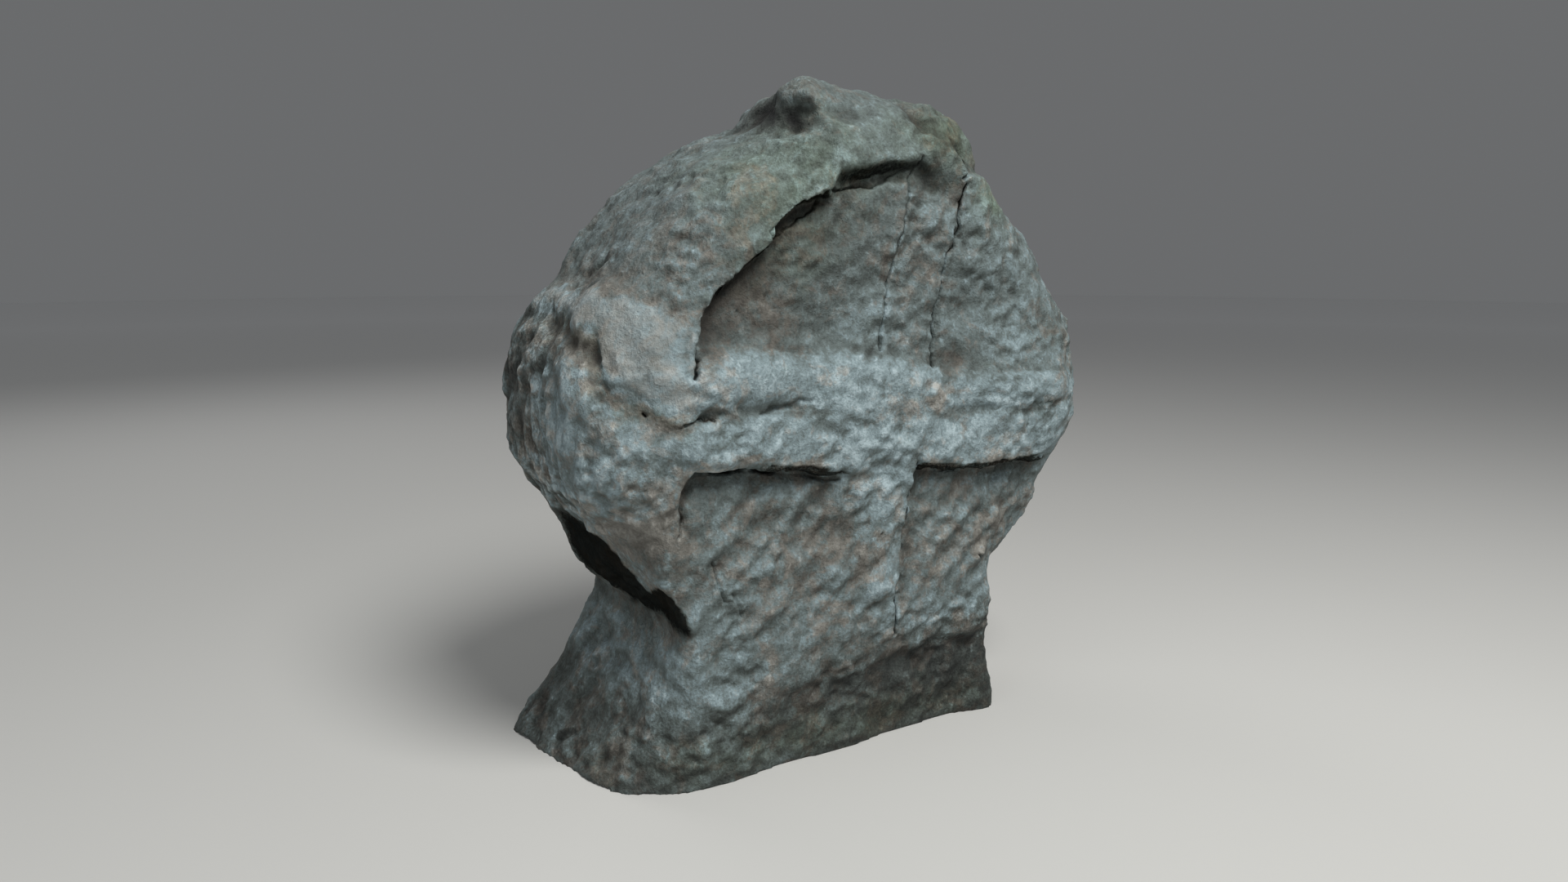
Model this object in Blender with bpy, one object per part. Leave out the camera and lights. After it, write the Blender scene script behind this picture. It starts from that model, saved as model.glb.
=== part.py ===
"""A weathered wheel-cross headstone: one block of stone with a thick disc head and a foot that spreads.

Metres, +Z up. The origin is on the flat underside, below the middle of the head and halfway through
the stone's thickness, and the carved face looks toward -Y.
The form is a field: each mass of the stone is a formula that is negative inside, the masses are joined
with worn corners, and a rough block of the same sizes is drawn onto the surface where the field is zero.
"""

import bmesh
import bpy
import numpy as np
from mathutils import Matrix, Vector, noise

# Head
HEAD_RADIUS = 0.282
HEAD_CENTRE_HEIGHT = 0.360
HEAD_SHIFT = -0.010
THICKNESS = 0.260
FRONT_WEAR = 0.078
BACK_WEAR = 0.050
FORWARD_LEAN = 0.045

# Arms of the cross: how far each stands out from the head, and its sides from the middle of the head
LEFT_ARM_STANDOUT = 0.032
LEFT_ARM_TOP = 0.125
LEFT_ARM_BOTTOM = 0.145
LEFT_ARM_FACET = 0.172
RIGHT_ARM_STANDOUT = 0.004
RIGHT_ARM_HALF_WIDTH = 0.080
RIGHT_ARM_HEIGHT = 0.014
TOP_ARM_STANDOUT = 0.036
TOP_ARM_LEFT = 0.117
TOP_ARM_RIGHT = 0.122

# Neck and foot, measured from the middle of the head to either side
NECK_HEIGHT = 0.155
NECK_LEFT = 0.223
NECK_RIGHT = 0.155
FOOT_LEFT = 0.318
FOOT_RIGHT = 0.180
LEDGE_HEIGHT = 0.095

# Carved face: its lines are drawn in shares of this radius
FACE_RADIUS = 0.235
UPPER_RECESS_DEPTH = 0.018
LOWER_RECESS_DEPTH = 0.015
BAND_RISE = 0.010
STEM_SINK = 0.006
HOLLOW_DEPTH = 0.018
LEDGE_STEP = 0.012
HOOD_STEP = 0.012
RELIEF_REACH = 0.090

# Weathering
LUMP_HEIGHT = 0.0045
LUMP_WIDTH = 0.075
LUMP_SEED = (3.1, 7.7, 1.9)
PECK_HEIGHT = 0.0022
PECK_WIDTH = 0.032
PECK_SEED = (9.3, 2.2, 5.4)

# Mesh
BLOCK_VOXEL = 0.009
SURFACE_VOXEL = 0.0055
FACE_COUNT = 11000

# The carving, in shares of FACE_RADIUS from the middle of the head
RIM_SHIFT = 0.034
RIM_RAGGEDNESS = 0.004
# The rim above the band, as degrees to the left of straight up and radius
RIM_LINE = ((16, 1.040), (19, 1.030), (23, 0.972), (28, 0.972), (31, 0.980), (34, 0.967), (40, 0.963),
            (43, 0.932), (50, 0.946), (55, 0.960), (59, 0.996))
# Lines across the face as (x, height), and lines up the face as (height, x)
BAND_TOP = ((-1.00, 0.27), (-0.58, 0.28), (-0.19, 0.22), (0.20, 0.15), (0.95, 0.12))
BAND_GROOVE = ((-0.98, 0.00), (-0.86, 0.05), (-0.60, 0.05), (0.00, -0.02), (0.64, -0.04), (0.95, -0.02))
BAND_BASE = ((-0.97, -0.18), (-0.68, -0.19), (-0.37, -0.24), (0.14, -0.262), (0.36, -0.295), (0.84, -0.305))
GROOVE_STRENGTH = ((-0.9, 1.0), (-0.8, 0.6), (-0.5, 0.9), (-0.25, 0.2), (0.2, 0.2), (0.5, 0.6), (0.9, 0.9))
LOWER_ROLL_PART = 0.78
ROLL_FULLNESS = 0.8
STEM_RIGHT = ((-1.00, 0.07), (-0.70, 0.07), (-0.28, 0.15), (0.14, 0.19), (0.69, 0.27), (0.92, 0.34))
STEM_LEFT = ((-1.00, -0.16), (-0.70, -0.10), (0.20, -0.06), (0.55, 0.00), (1.00, 0.05))
LEDGE_LINE = ((-0.60, -0.10), (-0.42, -0.05), (0.14, 0.03), (0.65, 0.04))
HOOD_LINE = ((0.08, 1.14), (0.25, 1.09), (0.31, 1.045), (0.36, 0.97))
# The hollow under the left arm's shelf, as distance behind the face plane and height
SHELF_EDGE = ((-0.03, 0.04), (0.00, 0.07), (0.04, 0.11), (0.11, 0.15), (0.16, 0.23), (0.21, 0.33),
              (0.40, 0.40), (0.63, 0.41), (1.00, 0.44))
FACET_SLOPE = (-0.60, -0.73, 0.37)
SOFFIT_HOLLOW = (-0.15, 0.965)
STEM_HOLLOW = (0.15, 0.985)
STEM_LUMP = (-0.01, -0.77)
RECESS_LUMP = (-0.27, -0.70)
NECK_LUMP = (0.30, -0.95)
CHIP = (-0.05, -0.87)


def smooth_step(value, low, high):
    t = np.clip((value - low) / (high - low), 0.0, 1.0)
    return t * t * (3.0 - 2.0 * t)


def along(value, line):
    """The height of a carved line at each value, straight between its points."""
    places, heights = zip(*line)
    return np.interp(value, places, heights)


def mound(u, v, middle, radii, turn=0.0):
    """A soft oval swelling of height 1 at its middle."""
    across = (u - middle[0]) * np.cos(turn) + (v - middle[1]) * np.sin(turn)
    upward = (v - middle[1]) * np.cos(turn) - (u - middle[0]) * np.sin(turn)
    return np.exp(-(across / radii[0]) ** 2 - (upward / radii[1]) ** 2)


def worn_corner(a, b, radius):
    """Both forms at once, with the edge between them rounded to a radius."""
    outside = np.hypot(np.maximum(a + radius, 0.0), np.maximum(b + radius, 0.0))
    return np.minimum(np.maximum(a, b), -radius) + outside


def grown_together(a, b, fillet):
    """Either form, with a soft hollow where they meet."""
    t = np.clip(0.5 + 0.5 * (b - a) / fillet, 0.0, 1.0)
    return b + (a - b) * t - fillet * t * (1.0 - t)


def upper_recess(u, v, rho, stem_left, stem_right):
    """The sunk field above the band: deep along the rim, shallow at the stem and to its right."""
    degrees_left_of_top = np.degrees(np.arctan2(RIM_SHIFT - u, v))
    ragged = np.sin(23.0 * u + 9.0 * v) + 0.6 * np.sin(41.0 * v - 17.0 * u)
    rim = along(degrees_left_of_top, RIM_LINE) + RIM_RAGGEDNESS * ragged
    wall = 0.018 + 0.08 * smooth_step(u, -0.40, -0.25) + 0.05 * smooth_step(u, 0.05, 0.25)
    inside = smooth_step(rim - rho, -0.01, wall)
    above = smooth_step(v - along(u, BAND_TOP), -0.05, 0.12)
    off_stem = 1.0 - smooth_step(u - stem_left, -0.10, 0.10)
    left_of_edge = 1.0 - smooth_step(u - stem_right, -0.02, 0.02)
    field_depth = UPPER_RECESS_DEPTH * (0.38 + 0.62 * np.exp(-np.maximum(rim - rho, 0.0) / 0.30))
    stem_depth = STEM_SINK * (1.0 + 1.0 * smooth_step(v, 0.75, 1.0))
    right_depth = STEM_SINK * (1.4 - 0.8 * smooth_step(u, 0.3, 0.6)) * smooth_step(1.08 - rho, 0.0, 0.30)
    left_depth = inside * (off_stem * field_depth + (1.0 - off_stem) * stem_depth)
    hollows = 0.6 * mound(u, v, SOFFIT_HOLLOW, (0.14, 0.05), 0.25)
    hollows = hollows + 0.5 * mound(u, v, STEM_HOLLOW, (0.09, 0.05), -0.4)
    sunk = above * (left_of_edge * left_depth + (1.0 - left_of_edge) * right_depth)
    return sunk + inside * HOLLOW_DEPTH * hollows


def double_band(u, v):
    """Two rolls side by side across the head, with a groove between them that fades in the middle."""
    top, groove, base = (along(u, line) for line in (BAND_TOP, BAND_GROOVE, BAND_BASE))
    upper = (v - groove) / (top - groove)
    lower = (groove - v) / (groove - base) * LOWER_ROLL_PART
    roll = np.sin(np.pi * np.clip(np.where(v > groove, upper, lower), 0.0, 1.0)) ** ROLL_FULLNESS
    roll = np.maximum(roll, 1.0 - along(u, GROOVE_STRENGTH) * (1.0 - roll))
    soft = 0.15 * (1.0 - smooth_step(u, -1.00, -0.93)) + 0.10 * smooth_step(u, 0.82, 0.92)
    soft = soft + 0.22 * smooth_step(u, -0.34, -0.20) * (1.0 - smooth_step(u, 0.10, 0.16))
    on_band = smooth_step(v - base, -0.012 - soft, 0.040 + soft) * (1.0 - smooth_step(v - top, -0.03, 0.06))
    ends = smooth_step(u, -1.12, -0.95) * (1.0 - 0.6 * smooth_step(u, 0.85, 1.05))
    return BAND_RISE * roll * on_band * ends


def lower_recesses(u, v, stem_left, stem_right):
    """The fields to either side of the stem below the band: deepest under the band, run out at the neck."""
    below = 1.0 - smooth_step(v - along(u, BAND_BASE), -0.02, 0.008)
    floor = LOWER_RECESS_DEPTH * (1.0 - 0.85 * smooth_step(-v, 0.22, 0.88))
    corner = -0.05 * smooth_step(v, -0.30, -0.17)
    fading = 0.30 * smooth_step(-v, 0.38, 0.62)
    left = smooth_step(u + 0.99 + corner, -0.012 - 0.3 * fading, 0.025 + fading)
    left = left * (1.0 - smooth_step(u - stem_left, -0.16, 0.08))
    left = left * (1.0 - 0.8 * smooth_step(u, -0.34, -0.20) * smooth_step(v, -0.55, -0.30))
    left = left * (1.0 - 0.5 * smooth_step(-u, 0.65, 0.95) * smooth_step(-v, 0.22, 0.34))
    right = smooth_step(u - stem_right, -0.01, 0.015) * (1.0 - smooth_step(u, 0.82, 0.98))
    return below * floor * (left + right) * (1.0 - smooth_step(-v, 0.85, 1.05))


def worn_places(u, v):
    """Lumps left standing low on the face and a chip beside them, in shares of BAND_RISE."""
    lumps = 0.8 * mound(u, v, STEM_LUMP, (0.08, 0.08)) + 0.7 * mound(u, v, RECESS_LUMP, (0.07, 0.10))
    lumps = lumps + 0.5 * mound(u, v, NECK_LUMP, (0.25, 0.07))
    return BAND_RISE * (0.3 * mound(u, v, CHIP, (0.08, 0.04)) - lumps)


def ledge(u, v):
    """Below a slanting line on the foot the face is broken back."""
    height = (LEDGE_HEIGHT - HEAD_CENTRE_HEIGHT) / FACE_RADIUS + along(u, LEDGE_LINE)
    broken = (1.0 - smooth_step(v - height, -0.07, 0.03)) * smooth_step(u, -0.8, -0.1)
    strength = (0.5 + 0.5 * smooth_step(u, -0.2, 0.3)) * (1.0 - 0.7 * smooth_step(u, 0.45, 0.68))
    return LEDGE_STEP * broken * strength


def hood(u, v):
    """To the right of a ridge on the knob the face stands back behind a raised lip."""
    above_lip = smooth_step(v - along(u, HOOD_LINE), -0.01, 0.04)
    return HOOD_STEP * above_lip * smooth_step(u - 0.12 + 0.35 * (v - 1.1), -0.03, 0.05)


def face_depth(x, z):
    """How far the carved face lies behind its flat plane, in metres."""
    u = x / FACE_RADIUS
    v = z / FACE_RADIUS
    rho = np.hypot(u - RIM_SHIFT, v)
    stem_left = along(v, STEM_LEFT)
    stem_right = along(v, STEM_RIGHT)
    sunk = upper_recess(u, v, rho, stem_left, stem_right) + lower_recesses(u, v, stem_left, stem_right)
    return sunk - double_band(u, v) + worn_places(u, v) + ledge(u, v) + hood(u, v)


def slab(outline, front, back, wear):
    """An outline across the stone's thickness, with worn front and back edges."""
    return worn_corner(worn_corner(outline, front, wear), back, BACK_WEAR)


def head(x, y, z, front, back):
    """The round head: a little flat at the upper right, and fuller and less worn at the lower left."""
    lower = smooth_step(-z, 0.25 * HEAD_RADIUS, 0.6 * HEAD_RADIUS)
    fuller = lower * smooth_step(-x, 0.35 * HEAD_RADIUS, 0.65 * HEAD_RADIUS)
    flatter = mound(x, z, (0.58 * HEAD_RADIUS, 0.78 * HEAD_RADIUS), (0.32 * HEAD_RADIUS, 0.32 * HEAD_RADIUS))
    ahead = 1.0 - smooth_step(y, 0.15 * THICKNESS, 0.70 * THICKNESS)
    above = 1.0 - 0.8 * smooth_step(-z, 0.55 * HEAD_RADIUS, 0.80 * HEAD_RADIUS)
    radius = HEAD_RADIUS * (1.0 + 0.048 * fuller * (1.0 - ahead * above) - 0.03 * flatter)
    outline = np.hypot(x - HEAD_SHIFT + 0.02 * y, z - 0.035 * y) - radius
    return slab(outline, front, back, FRONT_WEAR * (1.0 - 0.8 * fuller))


def left_arm(x, y, z, front, back):
    """The broad arm end on the left: a shelf on top with a broken facet before it, and a full end face."""
    reach = HEAD_RADIUS - HEAD_SHIFT + LEFT_ARM_STANDOUT
    half = 0.5 * (LEFT_ARM_TOP + LEFT_ARM_BOTTOM)
    shelf = LEFT_ARM_TOP - 0.5 * np.maximum(-x - 0.95 * HEAD_RADIUS, 0.0)
    upper = 0.15 * smooth_step(z, 0.2 * half, 0.9 * half)
    lower = 0.08 * smooth_step(-z, 0.2 * half, 0.8 * half)
    outline = np.maximum(-x - reach + half * (upper + lower), x + 0.3 * reach)
    outline = worn_corner(worn_corner(outline, z - shelf, 0.2 * half), -z - LEFT_ARM_BOTTOM, 0.9 * half)
    edge = FACE_RADIUS * along(y / FACE_RADIUS, SHELF_EDGE)
    far = smooth_step(y, 0.05 * THICKNESS, 0.5 * THICKNESS)
    hollow = np.exp(-((z - edge + 0.07 * half) / (0.10 * half)) ** 2) * (0.6 + 0.2 * far)
    hollow = hollow * smooth_step(-x, 0.80 * HEAD_RADIUS, 1.0 * HEAD_RADIUS)
    hollow = hollow * (1.0 - smooth_step(y, 0.6 * THICKNESS, 0.9 * THICKNESS))
    facet = FACET_SLOPE[0] * x + FACET_SLOPE[1] * y + FACET_SLOPE[2] * z - LEFT_ARM_FACET
    broken = worn_corner(slab(outline, front, back, FRONT_WEAR), facet, 0.05 * half)
    return broken + 1.2 * BAND_RISE * hollow


def right_arm(x, y, z, front, back):
    reach = HEAD_RADIUS + HEAD_SHIFT + RIGHT_ARM_STANDOUT
    outline = np.maximum(x - reach, 0.3 * reach - x)
    half = np.abs(z - RIGHT_ARM_HEIGHT) - RIGHT_ARM_HALF_WIDTH
    return slab(worn_corner(outline, half, 0.6 * RIGHT_ARM_HALF_WIDTH), front, back, FRONT_WEAR)


def top_arm(x, y, z, front, back):
    """The knob on the head: highest at its left, with a hollow along the foot of its left flank."""
    reach = HEAD_RADIUS + TOP_ARM_STANDOUT
    left = -x - TOP_ARM_LEFT + 0.19 * y + 0.4 * (z - 0.93 * reach)
    left = left + 0.35 * np.maximum(y - 0.6 * THICKNESS, 0.0)
    right = x - TOP_ARM_RIGHT - 0.04 * y + 0.25 * (z - 0.85 * reach)
    top = z - reach + 0.12 * (x + 0.6 * TOP_ARM_LEFT) + 0.08 * np.maximum(y - 0.4 * THICKNESS, 0.0)
    outline = worn_corner(worn_corner(left, top, 0.22 * TOP_ARM_LEFT), right, 0.4 * TOP_ARM_RIGHT)
    outline = np.maximum(outline, 0.3 * reach - z)
    dent_height = reach * (0.855 + 0.12 * y / THICKNESS)
    back_dent = mound(y, z - dent_height, (0.40 * THICKNESS, 0.0), (0.16 * THICKNESS, 0.07 * reach))
    front_dent = mound(y, z - dent_height, (0.13 * THICKNESS, 0.0), (0.09 * THICKNESS, 0.055 * reach))
    dents = (0.9 * back_dent + 0.8 * front_dent) * smooth_step(-x, 0.1 * TOP_ARM_LEFT, 0.5 * TOP_ARM_LEFT)
    wear = FRONT_WEAR * (1.0 - 0.3 * smooth_step(x, 0.0, 0.5 * TOP_ARM_RIGHT))
    return slab(outline, front, back, wear) + HOLLOW_DEPTH * dents


def foot(x, y, z, front, back):
    """From the neck the sides spread to the ground, more so at the back left."""
    drop = np.clip((NECK_HEIGHT - HEAD_CENTRE_HEIGHT - z) / NECK_HEIGHT, -0.5, 1.6)
    spread = 0.3 * drop + 0.7 * drop * np.abs(drop)
    front_left = NECK_LEFT + (FOOT_LEFT - NECK_LEFT) * 0.65 * spread
    back_spread = 0.65 * drop + 0.4 * drop * np.abs(drop)
    back_left = NECK_LEFT + 0.03 * THICKNESS + (FOOT_LEFT - NECK_LEFT) * back_spread
    left = front_left + (back_left - front_left) * np.clip(y / (0.9 * THICKNESS), 0.0, 1.0)
    right = NECK_RIGHT + (FOOT_RIGHT - NECK_RIGHT) * spread
    sides = np.maximum(np.maximum(-left - x, x - right), z + 0.2 * HEAD_RADIUS)
    wear = FRONT_WEAR * (0.3 + 0.75 * smooth_step(drop, 0.0, 1.0) * smooth_step(-x, 0.0, 0.5 * FOOT_LEFT))
    return slab(sides, front, back, wear)


def stone(points):
    """The whole stone's field at each point, in metres, negative inside."""
    x = points[:, 0]
    z = points[:, 2] - HEAD_CENTRE_HEIGHT
    y = points[:, 1] + THICKNESS / 2 + FORWARD_LEAN * z
    carved = 1.0 - smooth_step(y, 0.3 * RELIEF_REACH, RELIEF_REACH)
    front = face_depth(x, z) * carved - y
    back = y - THICKNESS
    body = grown_together(head(x, y, z, front, back), left_arm(x, y, z, front, back), 0.012)
    body = grown_together(body, right_arm(x, y, z, front, back), 0.045)
    body = grown_together(body, top_arm(x, y, z, front, back), 0.018)
    return grown_together(body, foot(x, y, z, front, back), 0.012)


def rough_block():
    """Plain primitives of the stone's own sizes, merged into one skin by a voxel remesh."""
    bm = bmesh.new()
    middle = Vector((0.0, 0.0, HEAD_CENTRE_HEIGHT))
    lying = Matrix.Translation(middle) @ Matrix.Rotation(np.pi / 2, 4, "X")
    size = {"radius1": HEAD_RADIUS, "radius2": HEAD_RADIUS, "depth": THICKNESS}
    bmesh.ops.create_cone(bm, cap_ends=True, segments=64, matrix=lying, **size)
    blocks = (
        ((-HEAD_RADIUS - LEFT_ARM_STANDOUT, 0.0), (-LEFT_ARM_BOTTOM, LEFT_ARM_TOP)),
        ((0.0, HEAD_RADIUS + RIGHT_ARM_STANDOUT), (-RIGHT_ARM_HALF_WIDTH, RIGHT_ARM_HALF_WIDTH)),
        ((-TOP_ARM_LEFT, TOP_ARM_RIGHT), (0.0, HEAD_RADIUS + TOP_ARM_STANDOUT)),
        ((-FOOT_LEFT, FOOT_RIGHT), (-1.25 * HEAD_CENTRE_HEIGHT, 0.0)),
    )
    for (left, right), (low, high) in blocks:
        centre = middle + Vector(((left + right) / 2, 0.0, (low + high) / 2))
        size = Matrix.Diagonal((right - left, THICKNESS, high - low, 1.0))
        bmesh.ops.create_cube(bm, size=1.0, matrix=Matrix.Translation(centre) @ size)
    mesh = bpy.data.meshes.new("headstone")
    bm.to_mesh(mesh)
    bm.free()
    return mesh


def with_modifier(mesh, kind, settings):
    """The mesh as one modifier leaves it."""
    carrier = bpy.data.objects.new("carrier", mesh)
    bpy.context.collection.objects.link(carrier)
    modifier = carrier.modifiers.new(kind, kind)
    for name, value in settings.items():
        setattr(modifier, name, value)
    depsgraph = bpy.context.evaluated_depsgraph_get()
    result = bpy.data.meshes.new_from_object(carrier.evaluated_get(depsgraph))
    bpy.data.objects.remove(carrier)
    bpy.data.meshes.remove(mesh)
    return result


def draw_onto_stone(mesh, rounds, longest_step):
    """Moves each vertex down the field's slope until it lies on the stone's surface."""
    places = np.empty(3 * len(mesh.vertices))
    mesh.vertices.foreach_get("co", places)
    places = places.reshape(-1, 3)
    reach = 0.0008
    for _ in range(rounds):
        value = stone(places)
        rises = [stone(places + reach * axis) - stone(places - reach * axis) for axis in np.eye(3)]
        slope = np.stack(rises, 1) / (2 * reach)
        steepness = np.maximum((slope ** 2).sum(1), 0.25)
        step = np.clip(value / steepness, -longest_step, longest_step)
        places -= step[:, None] * slope
    mesh.vertices.foreach_set("co", places.ravel())
    mesh.update()


def roughen(mesh):
    """Weathered lumps and pecked hollows, along each vertex's normal."""
    normals = [vertex.normal.copy() for vertex in mesh.vertices]
    for vertex, normal in zip(mesh.vertices, normals):
        lumps = noise.noise(vertex.co / LUMP_WIDTH + Vector(LUMP_SEED))
        pecks = noise.noise(vertex.co / PECK_WIDTH + Vector(PECK_SEED))
        vertex.co += normal * (LUMP_HEIGHT * lumps + PECK_HEIGHT * pecks)


def cut_at_ground(mesh):
    """Cuts the stone off flat at the ground and closes the cut."""
    bm = bmesh.new()
    bm.from_mesh(mesh)
    everything = bm.verts[:] + bm.edges[:] + bm.faces[:]
    bmesh.ops.bisect_plane(
        bm, geom=everything, dist=0.0006, plane_co=(0, 0, 0), plane_no=(0, 0, 1), clear_inner=True)
    bmesh.ops.holes_fill(bm, edges=[edge for edge in bm.edges if edge.is_boundary])
    bmesh.ops.dissolve_degenerate(bm, dist=0.0001, edges=bm.edges)
    bmesh.ops.triangulate(bm, faces=bm.faces)
    bmesh.ops.recalc_face_normals(bm, faces=bm.faces)
    bm.to_mesh(mesh)
    bm.free()


def stone_material():
    material = bpy.data.materials.new("grey_stone")
    material.use_nodes = True
    shader = material.node_tree.nodes["Principled BSDF"]
    shader.inputs["Base Color"].default_value = (0.23, 0.25, 0.24, 1.0)
    shader.inputs["Roughness"].default_value = 0.88
    shader.inputs["Metallic"].default_value = 0.0
    return material


def make_headstone():
    mesh = with_modifier(rough_block(), "REMESH", {"mode": "VOXEL", "voxel_size": BLOCK_VOXEL})
    draw_onto_stone(mesh, rounds=12, longest_step=0.012)
    mesh = with_modifier(mesh, "REMESH", {"mode": "VOXEL", "voxel_size": SURFACE_VOXEL})
    draw_onto_stone(mesh, rounds=6, longest_step=0.004)
    roughen(mesh)
    triangles = 2 * len(mesh.polygons)
    mesh = with_modifier(mesh, "DECIMATE", {"ratio": FACE_COUNT / triangles})
    cut_at_ground(mesh)
    mesh.name = "headstone"
    mesh.materials.append(stone_material())
    headstone = bpy.data.objects.new("headstone", mesh)
    bpy.context.collection.objects.link(headstone)
    return headstone


for old in list(bpy.data.objects):
    bpy.data.objects.remove(old)
make_headstone()
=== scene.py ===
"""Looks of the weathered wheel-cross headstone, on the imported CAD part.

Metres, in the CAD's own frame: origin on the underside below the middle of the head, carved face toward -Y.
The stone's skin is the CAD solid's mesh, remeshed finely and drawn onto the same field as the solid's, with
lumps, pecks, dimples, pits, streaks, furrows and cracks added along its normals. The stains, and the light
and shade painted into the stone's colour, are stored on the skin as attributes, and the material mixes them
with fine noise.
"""

import math

import bmesh
import bpy
import numpy as np
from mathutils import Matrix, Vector, noise


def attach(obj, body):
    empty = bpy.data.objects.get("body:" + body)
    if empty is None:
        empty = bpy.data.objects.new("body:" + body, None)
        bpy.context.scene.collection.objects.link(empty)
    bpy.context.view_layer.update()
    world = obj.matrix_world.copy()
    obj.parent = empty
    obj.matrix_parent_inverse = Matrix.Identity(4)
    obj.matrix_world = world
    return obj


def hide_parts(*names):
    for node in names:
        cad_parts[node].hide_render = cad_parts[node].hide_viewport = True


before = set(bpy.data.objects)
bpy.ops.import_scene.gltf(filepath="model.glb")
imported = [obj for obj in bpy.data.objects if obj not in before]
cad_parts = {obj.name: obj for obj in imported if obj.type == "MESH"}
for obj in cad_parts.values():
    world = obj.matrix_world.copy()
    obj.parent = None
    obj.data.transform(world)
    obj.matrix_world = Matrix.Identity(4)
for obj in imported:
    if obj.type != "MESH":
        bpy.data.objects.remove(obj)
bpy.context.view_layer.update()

# Camera: its place in metres, its direction in degrees, its lens in millimetres
CAMERA_PLACE = (-0.6331, -0.9779, 0.5095)
CAMERA_YAW = 30.9
CAMERA_PITCH = 9.8
FOCAL_LENGTH = 24.44
SENSOR_WIDTH = 36.0

# Floor
FLOOR_RADIUS = 14.0
FLOOR_SIDES = 96
FLOOR_FADE = (1.0, 0.6 * FLOOR_RADIUS)
FLOOR_NEAR = (0.62, 0.62, 0.6)
FLOOR_FAR = (0.95, 0.95, 0.95)
FLOOR_ROUGHNESS = 0.95
FLOOR_SHINE = 0.1

# Lights: name, place, size in metres, power in watts and colour, each aimed at one point
LIGHTS = (
    ("key", (0.1, -1.5, 2.3), 1.1, 62.0, (1.0, 0.99, 0.97)),
    ("fill", (-2.4, -1.0, 1.2), 2.0, 8.0, (0.94, 0.97, 1.0)),
    ("back", (-0.6, 2.6, 2.4), 1.6, 14.0, (1.0, 0.99, 0.98)),
)
LIGHT_TARGET = (0.0, 0.0, 0.35)
AIR_COLOUR = (0.8, 0.82, 0.84, 1.0)
AIR_STRENGTH = 0.18

# Mesh, in metres: the skin's voxels, how it is drawn onto the field, and how close vertices are joined
FINE_VOXEL = 0.0026
FINE_TRIANGLES = 194000
FIELD_ROUNDS = 5
LONGEST_STEP = 0.003
SLOPE_REACH = 0.0006
LEAST_STEEPNESS = 0.25
WELD_DISTANCE = 0.00002
# The skin keeps the solid's flat underside, and takes its own form over this range of heights
LEAVES_GROUND = (0.0, 0.012)

# The stone's field: these values and the functions from smooth_step to stone are those of the CAD part
# Head
HEAD_RADIUS = 0.282
HEAD_CENTRE_HEIGHT = 0.360
HEAD_SHIFT = -0.010
THICKNESS = 0.260
FRONT_WEAR = 0.078
BACK_WEAR = 0.050
FORWARD_LEAN = 0.045

# Arms of the cross: how far each stands out from the head, and its sides from the middle of the head
LEFT_ARM_STANDOUT = 0.032
LEFT_ARM_TOP = 0.125
LEFT_ARM_BOTTOM = 0.145
LEFT_ARM_FACET = 0.172
RIGHT_ARM_STANDOUT = 0.004
RIGHT_ARM_HALF_WIDTH = 0.080
RIGHT_ARM_HEIGHT = 0.014
TOP_ARM_STANDOUT = 0.036
TOP_ARM_LEFT = 0.117
TOP_ARM_RIGHT = 0.122

# Neck and foot, measured from the middle of the head to either side
NECK_HEIGHT = 0.155
NECK_LEFT = 0.223
NECK_RIGHT = 0.155
FOOT_LEFT = 0.318
FOOT_RIGHT = 0.180
LEDGE_HEIGHT = 0.095

# Carved face: its lines are drawn in shares of this radius
FACE_RADIUS = 0.235
UPPER_RECESS_DEPTH = 0.018
LOWER_RECESS_DEPTH = 0.015
BAND_RISE = 0.010
STEM_SINK = 0.006
HOLLOW_DEPTH = 0.018
LEDGE_STEP = 0.012
HOOD_STEP = 0.012
RELIEF_REACH = 0.090

# Weathering
LUMP_HEIGHT = 0.0045
LUMP_WIDTH = 0.075
LUMP_SEED = (3.1, 7.7, 1.9)
PECK_HEIGHT = 0.0022
PECK_WIDTH = 0.032
PECK_SEED = (9.3, 2.2, 5.4)

# The carving, in shares of FACE_RADIUS from the middle of the head
RIM_SHIFT = 0.034
RIM_RAGGEDNESS = 0.004
# The rim above the band, as degrees to the left of straight up and radius
RIM_LINE = ((16, 1.040), (19, 1.030), (23, 0.972), (28, 0.972), (31, 0.980), (34, 0.967), (40, 0.963),
            (43, 0.932), (50, 0.946), (55, 0.960), (59, 0.996))
# Lines across the face as (x, height), and lines up the face as (height, x)
BAND_TOP = ((-1.00, 0.27), (-0.58, 0.28), (-0.19, 0.22), (0.20, 0.15), (0.95, 0.12))
BAND_GROOVE = ((-0.98, 0.00), (-0.86, 0.05), (-0.60, 0.05), (0.00, -0.02), (0.64, -0.04), (0.95, -0.02))
BAND_BASE = ((-0.97, -0.18), (-0.68, -0.19), (-0.37, -0.24), (0.14, -0.262), (0.36, -0.295), (0.84, -0.305))
GROOVE_STRENGTH = ((-0.9, 1.0), (-0.8, 0.6), (-0.5, 0.9), (-0.25, 0.2), (0.2, 0.2), (0.5, 0.6), (0.9, 0.9))
LOWER_ROLL_PART = 0.78
ROLL_FULLNESS = 0.8
STEM_RIGHT = ((-1.00, 0.07), (-0.70, 0.07), (-0.28, 0.15), (0.14, 0.19), (0.69, 0.27), (0.92, 0.34))
STEM_LEFT = ((-1.00, -0.16), (-0.70, -0.10), (0.20, -0.06), (0.55, 0.00), (1.00, 0.05))
LEDGE_LINE = ((-0.60, -0.10), (-0.42, -0.05), (0.14, 0.03), (0.65, 0.04))
HOOD_LINE = ((0.08, 1.14), (0.25, 1.09), (0.31, 1.045), (0.36, 0.97))
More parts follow.
